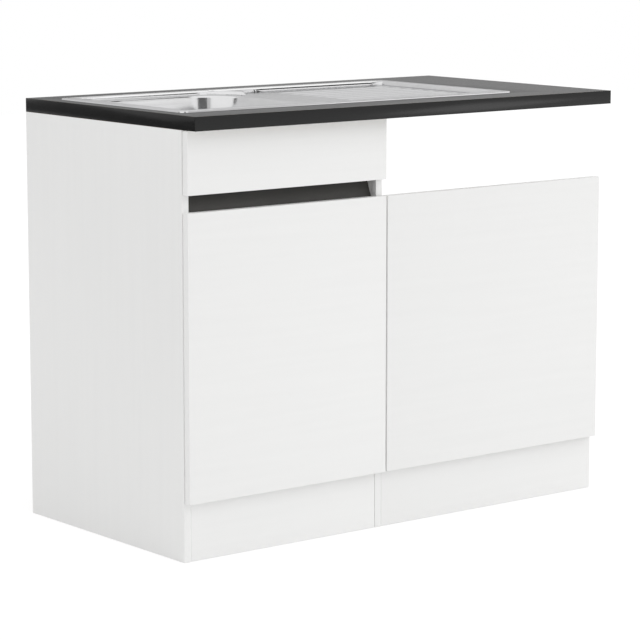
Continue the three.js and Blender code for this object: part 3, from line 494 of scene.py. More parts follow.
@finish
def milky_pad():
    """Soft, slightly milky plastic of the door's bumpers."""
    made = Finish("milky_pad", transmission_weight=0.35, ior=1.45)
    clouds = made.noise(240.0)
    made.shade(base_color=made.tones(clouds, (0.78, 0.79, 0.79), (0.86, 0.87, 0.87)))
    made.shade(roughness=made.spread(clouds, 0.3, 0.4))
    return made.material


# ---------------------------------------------------------------- surfaces worked out with numpy


def grid(rows, columns, wrap_rows=False, wrap_columns=False):
    """Four-sided faces of a grid of points that is stored row by row."""
    i = np.arange(rows if wrap_rows else rows - 1)[:, None]
    j = np.arange(columns if wrap_columns else columns - 1)[None, :]
    here, above = i * columns, (i + 1) % rows * columns
    beside = (j + 1) % columns
    return np.stack([here + j, here + beside, above + beside, above + j], -1).reshape(-1, 4)


def rounded(outline, cut, closed=True, steps=4):
    """Softens an outline: each corner becomes a parabola between the points cut before and after it."""
    here = np.asarray(outline, float)
    cut = np.broadcast_to(cut, len(here))[:, None]

    def toward(other):
        way = other - here
        length = np.linalg.norm(way, axis=1, keepdims=True)
        return here + way * np.minimum(cut / length, 0.45)

    start, end = toward(np.roll(here, 1, 0)), toward(np.roll(here, -1, 0))
    t = np.linspace(0, 1, steps + 1)[None, :, None]
    arcs = (1 - t) ** 2 * start[:, None] + 2 * t * (1 - t) * here[:, None] + t**2 * end[:, None]
    if closed:
        return arcs.reshape(-1, 2)
    return np.concatenate([here[:1], arcs[1:-1].reshape(-1, 2), here[-1:]])


def turned(profile, sides=72, warp=None):
    """A profile of (radius, height) points turned about z: (r cos a, r sin a, h).

    A profile that starts and ends on the axis is closed by its poles, any other by its own line.
    warp(radius, angle, height) may change radius and height, for ribs and recesses.
    """
    profile = np.asarray(profile, float)
    r, h = profile.T
    if np.sum(r * np.roll(h, -1) - np.roll(r, -1) * h) < 0:
        profile = profile[::-1]
    angle = np.linspace(0, 2 * math.pi, sides, endpoint=False)[None, :]
    radius, angle = np.broadcast_arrays(profile[:, :1], angle)
    height = np.broadcast_to(profile[:, 1:], radius.shape)
    if warp:
        radius, height = warp(radius, angle, height)
    points = np.stack([radius * np.cos(angle), radius * np.sin(angle), height], -1)
    loop = profile[0, 0] > 0 or profile[-1, 0] > 0
    return points.reshape(-1, 3), [grid(len(profile), sides, loop, True)]


def tube(path, radius, sides=32):
    """A round tube along a path in the plane x = 0: path + r (cos a X + sin a N), N square to the path."""
    path = np.asarray(path, float)
    along = np.gradient(path, axis=0)
    along /= np.linalg.norm(along, axis=1, keepdims=True)
    side = np.array([1.0, 0.0, 0.0])
    normal = np.cross(along, side)
    angle = np.linspace(0, 2 * math.pi, sides, endpoint=False)[None, :, None]
    spread = np.cos(angle) * side + np.sin(angle) * normal[:, None]
    points = path[:, None] + np.asarray(radius)[:, None, None] * spread
    ends = np.stack([path[0], path[-1]])
    rings = len(path)
    first = np.arange(sides)
    after = (first + 1) % sides
    last = (rings - 1) * sides
    pole = rings * sides
    caps = [
        np.stack([first, after, np.full(sides, pole)], -1)[:, ::-1],
        np.stack([last + first, last + after, np.full(sides, pole + 1)], -1),
    ]
    body = grid(rings, sides, False, True)
    return np.concatenate([points.reshape(-1, 3), ends]), [body, *caps]


def aimed(patch, at, direction=(0, 0, 1)):
    """A patch turned so that its z runs along direction, and moved so that its origin lies at at."""
    points, faces = patch
    z = np.asarray(direction, float) / np.linalg.norm(direction)
    side = (1.0, 0.0, 0.0) if abs(z[0]) < 0.9 else (0.0, 1.0, 0.0)
    y = np.cross(z, side)
    y /= np.linalg.norm(y)
    return points @ np.stack([np.cross(y, z), y, z]) + np.asarray(at, float), faces


def lathe(outline, cuts, at, direction=(0, 0, 1), sides=96, warp=None, closed=True):
    """An outline with its corners softened, turned about the axis through at along direction."""
    return aimed(turned(rounded(outline, cuts, closed), sides, warp), at, direction)


def ring_section(inner, outer, low, high):
    """The section of a plain ring: from radius inner to outer, and from height low to high."""
    return [(inner, low), (outer, low), (outer, high), (inner, high)]


def box_distance(x, y, box, radii):
    """Signed distance from (x, y) to a box with round corners, negative inside.

    box is x0, x1, y0, y1; radii are front left, front right, back right and back left.
    """
    x0, x1, y0, y1 = box
    px, py = x - (x0 + x1) / 2, y - (y0 + y1) / 2
    front = np.where(px > 0, radii[1], radii[0])
    back = np.where(px > 0, radii[2], radii[3])
    radius = np.where(py > 0, back, front)
    qx = np.abs(px) - (x1 - x0) / 2 + radius
    qy = np.abs(py) - (y1 - y0) / 2 + radius
    outside = np.hypot(np.maximum(qx, 0), np.maximum(qy, 0))
    return np.minimum(np.maximum(qx, qy), 0) + outside - radius


def reach(distance, centre, angles, level=0.0, limit=600.0):
    """How far rays go from a centre until the distance is level, by halving an interval 40 times."""
    near, far = np.zeros_like(angles), np.full_like(angles, limit)
    for _ in range(40):
        middle = (near + far) / 2
        x, y = centre[0] + middle * np.cos(angles), centre[1] + middle * np.sin(angles)
        inside = distance(x, y) < level
        near, far = np.where(inside, middle, near), np.where(inside, far, middle)
    return near


class Surface:
    """Patches gathered into one mesh: points in millimetres, faces, and a finish for each face."""

    def __init__(self, *patches):
        self.points, self.faces, self.finishes, self.total = [], [], [], 0
        for patch in patches:
            self.add(patch)

    def add(self, patch, number=0):
        """Adds a patch, all of its faces in the finish of one number."""
        points, faces = patch
        self.points.append(points)
        for block in faces:
            self.faces.extend((block + self.total).tolist())
            self.finishes.extend([number] * len(block))
        self.total += len(points)
        return self

    def mesh(self, name, crease=40.0):
        """The mesh in metres, with doubled points merged and edges over crease degrees kept sharp."""
        mesh = bpy.data.meshes.new(name)
        points = np.concatenate(self.points) / METRE
        mesh.from_pydata(points.tolist(), [], self.faces)
        mesh.polygons.foreach_set("material_index", np.array(self.finishes, np.int32))
        work = bmesh.new()
        work.from_mesh(mesh)
        bmesh.ops.remove_doubles(work, verts=work.verts, dist=0.01 / METRE)
        work.to_mesh(mesh)
        work.free()
        mesh.polygons.foreach_set("use_smooth", np.ones(len(mesh.polygons), bool))
        mesh.set_sharp_from_angle(angle=math.radians(crease))
        mesh.update()
        return mesh


def show(name, mesh, body, finishes, stands_for=()):
    """Puts a finished mesh in the scene: it rides on a body and stands for nodes of the frame."""
    piece = bpy.data.objects.new(name, mesh)
    bpy.context.scene.collection.objects.link(piece)
    for material in finishes:
        mesh.materials.append(material)
    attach(piece, body)
    if stands_for:
        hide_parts(*stands_for)
    return piece


def stand_in(node, patches, body, material, crease=40.0):
    """Gathers patches into the piece that stands for a node."""
    mesh = Surface(*patches).mesh(node + "_surface", crease)
    return show(mesh.name, mesh, body, [material], [node])


def soften(piece, width, segments=3):
    """Rounds the edges of a piece that turn by more than 40 degrees, width millimetres wide."""
    bevel = piece.modifiers.new("Rounded edges", "BEVEL")
    bevel.width = width / METRE
    bevel.segments = segments
    bevel.limit_method = "ANGLE"
    bevel.angle_limit = math.radians(40)
    bevel.harden_normals = True
    return piece


# Each side's axis, and its sign on that axis.
SIDES = {"-x": (0, -1), "+x": (0, 1), "-y": (1, -1), "+y": (1, 1), "-z": (2, -1), "+z": (2, 1)}
BACK = (0, 1, 0)  # towards the wall


def dressed(node, body, finishes, edge, facing=None, inside=0):
    """A copy of a node's solid with its flat faces joined and its edges rounded.

    finishes[0] covers it. facing gives, for a side such as "+y", the number of another finish,
    and inside is the number of the finish of bores and cuts.
    """
    work = bmesh.new()
    work.from_mesh(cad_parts[node].data)
    bmesh.ops.remove_doubles(work, verts=work.verts, dist=0.001 / METRE)
    flat = math.radians(0.5)
    bmesh.ops.dissolve_limit(work, angle_limit=flat, verts=work.verts, edges=work.edges)
    mesh = bpy.data.meshes.new(node + "_surface")
    work.to_mesh(mesh)
    work.free()
    count = len(mesh.polygons)
    normals, centres = np.zeros(count * 3), np.zeros(count * 3)
    mesh.polygons.foreach_get("normal", normals)
    mesh.polygons.foreach_get("center", centres)
    normals, centres = normals.reshape(-1, 3), centres.reshape(-1, 3) * METRE
    ends = corners(node)
    numbers = np.full(count, inside)
    for side, (axis, sign) in SIDES.items():
        face = ends[sign > 0][axis]
        outer = (normals[:, axis] * sign > 0.99) & (np.abs(centres[:, axis] - face) < 0.05)
        numbers[outer] = (facing or {}).get(side, 0)
    mesh.polygons.foreach_set("material_index", numbers.astype(np.int32))
    mesh.polygons.foreach_set("use_smooth", np.ones(count, bool))
    piece = show(node + "_surface", mesh, body, finishes, [node])
    return soften(piece, edge)


# ---------------------------------------------------------------- screws


def screw_head(radius=3.6, height=1.9, recess=1.3):
    """A pan head: a flat dome on z = 0 with a cross recess.

    The dome's height is h (1 - (r / R)^2.6); the cross is where |x| or |y| is small near the axis.
    """
    steps = np.array([0, 0.12, 0.24, 0.36, 0.48, 0.6, 0.7, 0.8, 0.88, 0.94, 0.98, 1.0])
    dome = [(radius * s, height * (1 - s**2.6) ** 0.8) for s in steps[::-1]]
    profile = np.array([(0.0, -0.3), (radius, -0.3), *dome])

    def cross(r, angle, h):
        x, y = np.abs(r * np.cos(angle)), np.abs(r * np.sin(angle))
        arm = (np.minimum(x, y) < 0.16 * radius) & (np.maximum(x, y) < 0.56 * radius) & (h > 0)
        return r, np.where(arm, h - recess, h)

    return turned(profile, 40, cross)


def screws(name, seats, body, material, radius=3.6):
    """Screw heads at seats, each a point and the direction that its head faces."""
    surface = Surface(*(aimed(screw_head(radius), at, out) for at, out in seats))
    return show(name, surface.mesh(name), body, [material])


# ---------------------------------------------------------------- boards

# Each board: body, the grain's direction, and the sides that are raw chipboard.
BOARDS = {
    "side_panel_left": ("cabinet", "z", ("+y", "+z", "-z")),
    "side_panel_right": ("cabinet", "z", ("+y", "+z", "-z")),
    "bottom_panel": ("cabinet", "x", ("+y", "-x", "+x")),
    "front_rail": ("cabinet", "x", ("+z", "-x", "+x")),
    "back_rail_upper": ("cabinet", "x", ("+z", "-x", "+x")),
    "back_rail_lower": ("cabinet", "x", ("-z", "-x", "+x")),
    "fascia_panel": ("cabinet", "x", ()),
    "door": ("door", "x", ()),
    "dishwasher_front": ("dishwasher_front", "x", ()),
    "plinth_board": ("cabinet", "x", ()),
    "dishwasher_plinth": ("cabinet", "x", ()),
}


class SINKUNIT_OT_boards(bpy.types.Operator):
    """Dress the side panels, rails, fronts and plinths in white melamine"""

    bl_idname = "sink_unit.boards"
    bl_label = "Boards"

    def execute(self, context):
        settings = context.scene.sink_unit_boards
        raw = raw_chipboard(settings.chipboard)
        for node, (body, grain, bare) in BOARDS.items():
            finishes = [white_melamine(settings.white, grain), raw]
            facing = {side: 1 for side in bare}
            # The upper back rail keeps square edges, because its rear face is the unit's rear.
            edge = 0.0 if node == "back_rail_upper" else settings.edge * METRE
            dressed(node, body, finishes, edge, facing, 1)
        return {"FINISHED"}


# ---------------------------------------------------------------- worktop


PAPER = (0.62, 0.60, 0.56)  # colour of the paper under the worktop


class SINKUNIT_OT_worktop(bpy.types.Operator):
    """Dress the worktop and its edge bands"""

    bl_idname = "sink_unit.worktop"
    bl_label = "Worktop"

    def execute(self, context):
        settings = context.scene.sink_unit_worktop
        raw = raw_chipboard(context.scene.sink_unit_boards.chipboard)
        finishes = [raw, anthracite_laminate(settings.top), backing_paper(PAPER)]
        facing = {"+z": 1, "-z": 2}
        dressed("worktop", "cabinet", finishes, 0.25, facing)
        band = [anthracite_band(settings.band)]
        for word in ("front", "left", "right"):
            name = "worktop_edge_" + word
            dressed(name, "cabinet", band, settings.edge * METRE * 0.9)
        return {"FINISHED"}


# ---------------------------------------------------------------- sink


# Further lines along the drainer, at these y, where the others lie far apart.
SPARE_LINES = (-208.0, -200.0, -160.0, -140.0, 200.0, 205.0)


def wall_inset(fall):
    """How far the bowl's wall has moved inward at a part of its height, 0 at its top: it grows as
    1 - (1 - t)^WALL_FADE, so that the lean is strongest at the top."""
    return BOWL_LIP + BOWL_DRAFT * (1 - (1 - fall) ** WALL_FADE)


class Sink:
    """The sink's plan in millimetres from its centre, with z = 0 on the sunk fields."""

    def __init__(self, step, rib):
        low, high = corners("sink_basin")
        lean = math.radians(RIM_LEAN)
        self.rim_flank = (RIM_EDGE - RIM_ROUND * (1 - math.cos(lean))) / math.tan(lean)
        self.middle = np.array([*(low + high)[:2] / 2, high[2] - FIELD_DROP])
        self.half = (high - low)[:2] / 2
        self.step, self.rib = step, rib
        steep = math.radians(STEP_LEAN)
        self.step_fall = FIELD_DROP - (step + STEP_FOOT) * (1 - math.cos(steep))
        self.step_width = (step + STEP_FOOT) * math.sin(steep) + self.step_fall / math.tan(steep)
        half_width, half_depth = self.half
        self.rim = (-half_width, half_width, -half_depth, half_depth)
        front, back = RIM_BORDER - half_depth, half_depth - RIM_BORDER
        self.field = (RIM_BORDER - half_width, half_width - RIM_BORDER, front, back)
        bowl_left = BOWL_MARGIN - half_width
        self.bowl = (bowl_left, bowl_left + BOWL_WIDTH, -BOWL_LENGTH / 2, BOWL_LENGTH / 2)
        self.drain = (bowl_left + BOWL_WIDTH / 2, 0.0)
        self.bowl_field_end = self.bowl[1] + BOWL_FIELD_MARGIN
        self.rib_start = self.bowl_field_end + DRAINER_CORNER / 2 + RIB_END_MARGIN
        self.rib_end = self.field[1] - RIB_END_MARGIN
        self.seam = self.bowl[1] + SEAM_MARGIN

    def rim_distance(self, x, y):
        """Distance to the rim's outline."""
        return box_distance(x, y, self.rim, [SINK_CORNER] * 4)

    def bowl_distance(self, x, y):
        """Distance to the bowl's outline at its lip."""
        return box_distance(x, y, self.bowl, [BOWL_CORNER] * 4)

    def bowl_field_distance(self, x, y):
        """Distance to the outline of the sunk field round the bowl."""
        left, _, front, back = self.field
        radii = [SINK_CORNER, 0, BOWL_FIELD_CORNER, SINK_CORNER]
        return box_distance(x, y, (left, self.bowl_field_end, front, back), radii)

    def field_distance(self, x, y):
        """Distance to the edge of the two fields joined: the smaller of the distances to each."""
        _, right, front, back = self.field
        start = self.bowl_field_end - SINK_CORNER
        radii = [0, SINK_CORNER, SINK_CORNER, DRAINER_CORNER]
        drainer = box_distance(x, y, (start, right, front, back), radii)
        return np.minimum(self.bowl_field_distance(x, y), drainer)

    def step_height(self, away):
        """Height of the step at a distance outside the fields' edge: from the border down, an arc
        of the step's radius, then a steep straight face, then a small arc into the field."""
        steep = math.radians(STEP_LEAN)
        q = np.clip(self.step_width / 2 - away, 0, self.step_width)
        top = self.step * math.sin(steep)
        arc = self.step - np.sqrt(self.step**2 - np.minimum(q, top) ** 2)
        slope = np.clip(q - top, 0, self.step_fall / math.tan(steep)) * math.tan(steep)
        left = np.clip(self.step_width - q, 0, STEP_FOOT * math.sin(steep))
        foot = STEP_FOOT * (1 - math.cos(steep)) - (STEP_FOOT - np.sqrt(STEP_FOOT**2 - left**2))
        return FIELD_DROP - arc - slope - foot

    def rim_fall(self, inward):
        """How far the rim's edge has fallen at a distance from its foot: a steep straight flank and
        an arc over its upper edge."""
        top = RIM_ROUND * math.sin(math.radians(RIM_LEAN))
        over = np.clip(top + self.rim_flank - inward, 0, top)
        arc = RIM_ROUND - np.sqrt(RIM_ROUND**2 - over**2)
        return arc + np.clip(self.rim_flank - inward, 0, None) * math.tan(math.radians(RIM_LEAN))

    def deck(self, x, y):
        """Height of the deck: the step from the fields up to the border, the land at the back that
        slopes inward between the fields' ends, the fall of the rim's edge, and ribs whose section
        is h (1 + cos(pi d / r)) / 2 at a distance d from the rib's middle line."""
        z = self.step_height(self.field_distance(x, y))
        back = self.field[3]
        land = [back - LAND_RAMP[0], back - LAND_RAMP[1], self.half[1] - RIM_EDGE]
        slope = np.interp(y, land, [0, LAND_SLOPE, 0])
        ends = [self.field[1] - LAND_FADE[0], self.field[1] - LAND_FADE[1]]
        slope = slope * np.interp(np.abs(x), ends, [1, 0])
        z -= slope * np.clip(z / FIELD_DROP, 0, 1)
        z -= self.rim_fall(np.maximum(-self.rim_distance(x, y), 0))
        most = (RIB_COUNT - 1) / 2
        nearest = np.clip(np.round(y / RIB_PITCH), -most, most) * RIB_PITCH
        radius = RIB_WIDTH / 2
        beyond = np.maximum(np.maximum(self.rib_start + radius - x, x - self.rib_end + radius), 0)
        away = np.clip(np.hypot(beyond, y - nearest) / radius, 0, 1)
        return z + self.rib * (1 + np.cos(math.pi * away)) / 2

    def bowl_rings(self):
        """Rings of the bowl from its lip down, as (distance inside its outline, height): a quarter
        circle over the lip, a wall whose lean fades downward, and a quarter circle into the floor."""
        lip = np.radians(np.linspace(10, 90, 9))
        rings = [BOWL_LIP * np.stack([np.sin(lip), np.cos(lip) - 1], -1)]
        foot = BOWL_FILLET - BOWL_DEPTH
        fall = np.linspace(0, 1, 14)[1:-1]
        rings.append(np.stack([wall_inset(fall), (foot + BOWL_LIP) * fall - BOWL_LIP], -1))
        turn = np.radians(np.linspace(0, 90, 10))
        lean = BOWL_LIP + BOWL_DRAFT
        inset = lean + BOWL_FILLET * (1 - np.cos(turn))
        rings.append(np.stack([inset, foot - BOWL_FILLET * np.sin(turn)], -1))
        return np.concatenate(rings)

    def rim_lines(self, end):
        """Lines beside the rim's edge at end, closer together where the edge turns down."""
        turn = np.radians(np.linspace(0, RIM_LEAN, 6))
        inward = self.rim_flank + RIM_ROUND * (math.sin(turn[-1]) - np.sin(turn))
        inward = [*inward, self.rim_flank - EDGE_HOLD, EDGE_HOLD, 0]
        return np.sign(end) * (abs(end) - np.array(inward))

    def step_lines(self):
        """How far outside the fields' edge the mesh's lines on the step lie: even turns of its
        upper arc, then both ends of its straight face, then even turns of the small arc."""
        steep = math.radians(STEP_LEAN)
        upper = self.step * np.sin(np.linspace(0, steep, 10))
        foot = self.step_width - STEP_FOOT * np.sin(np.linspace(steep, 0, 4))
        face = [upper[-1] + EDGE_HOLD, foot[0] - EDGE_HOLD]
        return self.step_width / 2 - np.concatenate([upper, face, foot])

    def drainer_lines(self):
        """The lines across and along the drainer's mesh, close together at steps and ribs."""
        half_width, half_depth = self.half
        step = self.step_lines()
        corner = half_width - SINK_CORNER
        arc = corner + SINK_CORNER * np.sin(np.radians(np.linspace(0, 90, 8)))
        ends = np.linspace(-2, RIB_WIDTH / 2 + 2, 9)
        x = np.concatenate([
            np.arange(self.seam, self.seam + CORNER_SPAN, 2.0),
            np.arange(self.seam + CORNER_SPAN, self.rib_end - RIB_WIDTH, 14.0),
            self.rib_end - ends,
            self.field[1] + step,
            arc,
            self.rim_lines(half_width),
        ])
        across = np.linspace(-RIB_WIDTH / 2, RIB_WIDTH / 2, 9)
        rib = (np.arange(RIB_COUNT) - (RIB_COUNT - 1) / 2)[:, None] * RIB_PITCH + across
        y = np.concatenate([
            self.rim_lines(-half_depth),
            self.rim_lines(half_depth),
            self.field[2] - step[::2],
            self.field[3] + step,
            rib.ravel(),
            np.arange(CORNER_START, self.field[3] - self.step_width / 2, 2.3),
            SPARE_LINES,
        ])
        return spaced(x, 0.02), spaced(y, 0.02)

    def columns(self, y):
        """The angles of the rays from the drain: one to each line that meets the seam, the rest
        evenly, with more of them at the round corners of the rim and the field."""
        cx, cy = self.drain
        seam = np.arctan2(y - cy, self.seam - cx)
        rest = [np.arange(seam.max() + 0.02, seam.min() + 2 * math.pi - 0.02, 0.03)]
        arc = np.radians(np.linspace(0, 90, 8))
        for box, radius in ((self.rim, SINK_CORNER), (self.field, SINK_CORNER)):
            x = box[0] + radius - radius * np.cos(arc)
            offset = box[3] - radius + radius * np.sin(arc)
            rest.append(np.arctan2(offset - cy, x - cx) % (2 * math.pi))
            rest.append(np.arctan2(-offset - cy, x - cx) % (2 * math.pi))
        return np.concatenate([seam, spaced(np.concatenate(rest), 0.004)])

    def surface(self):
        """The whole upper skin. The drainer's part is a grid over x and y. Round the bowl, each
        column runs on a ray from the drain: across the deck, over the lip and down to the hole."""
        x, y = self.drainer_lines()
        half_width, half_depth = self.half
        over = np.clip(x - half_width + SINK_CORNER, 0, SINK_CORNER)
        side = half_depth - SINK_CORNER + np.sqrt(SINK_CORNER**2 - over**2)
        gx = np.broadcast_to(x, (len(y), len(x)))
        gy = y[:, None] * (side / half_depth)[None, :]
        drainer = np.stack([gx, gy, self.deck(gx, gy)], -1)

        angles = self.columns(y)
        cx, cy = self.drain

        def part(x, y):
            return np.maximum(self.rim_distance(x, y), x - self.seam)

        outer = reach(part, self.drain, angles)
        lip = reach(self.bowl_distance, self.drain, angles)
        edge = np.sort(half_depth - self.rim_lines(half_depth))[1:]
        radii = [outer, *(reach(part, self.drain, angles, -inward) for inward in edge)]
        for away in (12.0, *self.step_lines()):
            line = reach(self.bowl_field_distance, self.drain, angles, away)
            radii.append(np.minimum(line, radii[-1] - 0.02))
        radii.append((radii[-1] + lip) / 2)
        radii = np.stack([*radii, lip])
        dx, dy = np.cos(angles), np.sin(angles)
        px, py = cx + radii * dx, cy + radii * dy
        deck = np.stack([px, py, self.deck(px, py)], -1)

        rings = self.bowl_rings()
        wall = np.stack([reach(self.bowl_distance, self.drain, angles, -inset) for inset, _ in rings])
        height = np.repeat(rings[:, 1:], len(angles), 1)
        recess = DRAIN_RECESS + 1.0
        t = np.linspace(0, 1, 8)[1:, None]
        floor = wall[-1] + (recess - wall[-1]) * t
        flat = np.full_like(floor, -BOWL_DEPTH)
        edge = [(recess - 0.6, 0.25), (DRAIN_RECESS - 0.2, 1.6), (DRAIN_RECESS - 0.9, 2.3)]
        edge += [(DRAIN_RECESS - 2, DRAIN_RECESS_DEPTH), (DRAIN_HOLE, DRAIN_RECESS_DEPTH)]
        edge = np.array(edge)
        seat = np.repeat(edge[:, :1], len(angles), 1)
        sunk = np.repeat(-BOWL_DEPTH - edge[:, 1:], len(angles), 1)
        radii = np.concatenate([wall, floor, seat])
        height = np.concatenate([height, flat, sunk])
        bowl = np.stack([cx + radii * dx, cy + radii * dy, height], -1)

        rays = np.concatenate([deck, bowl])
        surface = Surface()
        order = np.argsort(angles % (2 * math.pi))
        rays = rays[:, order]
        place = self.middle
        surface.add((rays.reshape(-1, 3) + place, [grid(len(rays), len(angles), False, True)]))
        surface.add((drainer.reshape(-1, 3) + place, [grid(len(y), len(x))]))
        return surface


def spaced(values, least):
    """The values in order, without those that follow the one before by less than least."""
    values = np.sort(values)
    return values[np.concatenate([[True], np.diff(values) > least])]


class SINKUNIT_OT_sink(bpy.types.Operator):
    """Press the sink from one sheet of steel, and lay its gasket under the rim"""

    bl_idname = "sink_unit.sink"
    bl_label = "Sink"

    def execute(self, context):
        settings = context.scene.sink_unit_sink
        sink = Sink(settings.step * METRE, settings.rib * METRE)
        mesh = sink.surface().mesh("sink", 60.0)
        steel = satin_steel(settings.steel)
        # The land's steel, 1.22 times paler than the satin steel, is a painted highlight.
        bright = polished_steel_painted_highlight(shaded(settings.steel, 1.22))
        piece = show("sink", mesh, "cabinet", [steel, bright], ["sink_basin"])
        centres = np.zeros(len(mesh.polygons) * 3)
        mesh.polygons.foreach_get("center", centres)
        x, y, z = centres.reshape(-1, 3).T * METRE - sink.middle[:, None]
        # The land for the tap, at the back between the fields' ends, is polished, and its steel is 1.22
        # times paler than the rest: a painted highlight.
        land = (y > sink.field[3]) & (z > FIELD_DROP / 2) & (np.abs(x) < sink.field[1])
        mesh.polygons.foreach_set("material_index", land.astype(np.int32))
        wall = piece.modifiers.new("Sheet", "SOLIDIFY")
        wall.thickness = SHEET / METRE
        wall.offset = -1
        wall.use_even_offset = True
        rubber = soft_rubber(context.scene.sink_unit_waste.rubber)
        dressed("sink_gasket", "cabinet", [rubber], 0.4)
        return {"FINISHED"}


# ---------------------------------------------------------------- strainer and overflow cover


def overflow_seat():
    """The middle of the overflow's hole on the bowl's back wall, and the way out through it."""
    low, high = corners("sink_basin")
    height = BOWL_DEPTH - BOWL_FILLET - BOWL_LIP
    fall = (OVERFLOW_DROP - BOWL_LIP) / height
    lean = math.atan(WALL_FADE * BOWL_DRAFT / height * (1 - fall) ** (WALL_FADE - 1))
    y = BOWL_LENGTH / 2 - wall_inset(fall)
    x = low[0] + BOWL_MARGIN + BOWL_WIDTH / 2
    return (x, y, high[2] - FIELD_DROP - OVERFLOW_DROP), (0, math.cos(lean), -math.sin(lean))


def strainer_flange():
    """The flange's section: a dished ring that rolls over the recess and runs down as a neck."""
    low, high = corners("strainer_flange")
    outer = (high[0] - low[0]) / 2
    neck = DRAIN_HOLE - 0.3
    bore = neck - PIPE_WALL
    foot = high[2] - PIPE_WALL
    section = [
        (bore, low[2]), (neck, low[2]), (neck, foot), (outer, foot), (outer, high[2]), (bore, foot),
    ]
    at = ((low[0] + high[0]) / 2, (low[1] + high[1]) / 2, 0)
    return lathe(section, [0.5, 0.4, 0.4, 0.5, 0.6, 2.5], at)


def strainer_plug():
    """The lift-out plug: a dished steel plate with twelve slots round a turned knob on a stem."""
    low, high = corners("strainer_plug")
    outer = (high[0] - low[0]) / 2
    knob = KNOB_RADIUS
    ring = high[2] - knob * 1.5
    outline = [
        (0, low[2]), (outer, low[2]), (outer, ring), (outer - PIPE_WALL, ring),
        (outer - 6, ring - 2.2), (knob * 2, ring - knob), (knob / 2, ring - knob),
        (knob / 2, ring + knob / 2), (knob, ring + knob), (knob, high[2]), (0, high[2]),
    ]
    profile = rounded(outline, [0, 1.5, 0.8, 0.8, 1.5, 4, 2, 3, 2, 2, 0], closed=False)
    extra = np.linspace(0, 1, 14)[1:-1, None]
    bend = np.argmin(np.hypot(profile[:, 0] - (outer - 8), profile[:, 1] - (ring - 3.5)))
    dish = profile[bend] + (profile[bend + 1] - profile[bend]) * extra
    profile = np.concatenate([profile[: bend + 1], dish, profile[bend + 1 :]])

    def slots(r, angle, h):
        turn = np.abs((angle * PLUG_SLOTS / (2 * math.pi)) % 1 - 0.5)
        cutout = (turn < 0.2) & (r > knob * 2 + 3) & (r < outer - 9) & (h > ring - knob)
        return r, np.where(cutout, h - 2.4, h)

    x, y = (low[0] + high[0]) / 2, (low[1] + high[1]) / 2
    return aimed(turned(profile, 192, slots), (x, y, 0))


def overflow_cover():
    """The cover over the overflow: a low dome with a ring of ten round holes and a middle screw."""
    at, out = overflow_seat()
    steps = np.linspace(0, 1, 24)
    dome = [(COVER_RADIUS * s, -COVER_EDGE - COVER_RISE * (1 - s**3)) for s in steps]
    spigot = OVERFLOW_RADIUS - 0.5
    profile = [*dome, (COVER_RADIUS, -0.4), (spigot, -0.3), (spigot, 0.6), (0, 0.6)]

    def holes(r, angle, h):
        turn = ((angle * COVER_HOLES / (2 * math.pi)) % 1 - 0.5) * 2 * math.pi / COVER_HOLES
        away = np.hypot(r * np.cos(turn) - COVER_HOLE_RING, r * np.sin(turn))
        sunk = (away < COVER_HOLE) & (h < -COVER_EDGE / 2)
        return r, np.where(sunk, h + 1.9, h)

    cover = aimed(turned(profile, 160, holes), at, out)
    head = np.asarray(at) - np.asarray(out) * (COVER_EDGE + COVER_RISE)
    return cover, aimed(screw_head(3.0, 1.0, 0.7), head, -np.asarray(out))


class SINKUNIT_OT_strainer(bpy.types.Operator):
    """Turn the strainer's flange, its lift-out plug and the overflow cover"""

    bl_idname = "sink_unit.strainer"
    bl_label = "Strainer"

    def execute(self, context):
        steel = satin_steel(context.scene.sink_unit_sink.steel)
        pieces = [
            ("strainer_flange", "cabinet", [strainer_flange()]),
            ("strainer_plug", "strainer_plug", [strainer_plug()]),
            ("overflow_cover", "cabinet", overflow_cover()),
        ]
        for node, body, patches in pieces:
            stand_in(node, patches, body, steel)
        return {"FINISHED"}


# ---------------------------------------------------------------- trap, pipes and seals


def ribbed(count, depth, low, high):
    """A warp that grooves a turned wall between two heights with count upright grip ribs."""

    def warp(r, angle, h):
        wave = np.clip(np.cos(angle * count) * 1.6, -1, 1)
        inside = (h > low) & (h < high)
        return np.where(inside, r - depth * (1 - wave) / 2, r), h

    return warp


def strainer_cup():
    """The cup under the strainer: a flanged tub with a funnel, a nut ring and an overflow port."""
    low, high = corners("strainer_cup")
    x = (low[0] + high[0]) / 2
    flange = (high[0] - low[0]) / 2
    bore = DRAIN_HOLE + 0.3
    rim = bore + PIPE_WALL
    shoulder, foot = high[2] - WASTE_SHOULDER, high[2] - WASTE_FOOT
    tube_end = OUTLET_RADIUS - PIPE_WALL
    section = [
        (OUTLET_RADIUS, low[2]), (OUTLET_RADIUS, foot), (rim, shoulder),
        (rim, high[2] - PIPE_WALL), (flange, high[2] - PIPE_WALL), (flange, high[2]),
        (bore, high[2]), (bore, shoulder + PIPE_WALL), (tube_end, foot + PIPE_WALL), (tube_end, low[2]),
    ]
    port = [(0, 0), (12, 0), (12, 20), (HOSE_RADIUS - 1, 20), (HOSE_RADIUS - 1, 16), (0, 16)]
    at = (x, rim - 1, high[2] - WASTE_PORT)
    collar, nut = ring_section(12, 14.5, 4, 10), ring_section(rim - 0.5, rim + 2.2, -6, -4)
    return [
        lathe(section, [0.4, 4, 6, 1, 0.6, 0.6, 0.4, 5, 4, 0.4], (x, 0, 0)),
        lathe(port, [0, 1, 0.8, 0.8, 1, 0], at, BACK, 48, closed=False),
        lathe(collar, 0.8, at, BACK, warp=ribbed(24, 0.7, 4.5, 9.5)),
        lathe(nut, 0.5, (x, 0, shoulder + 8)),
    ]


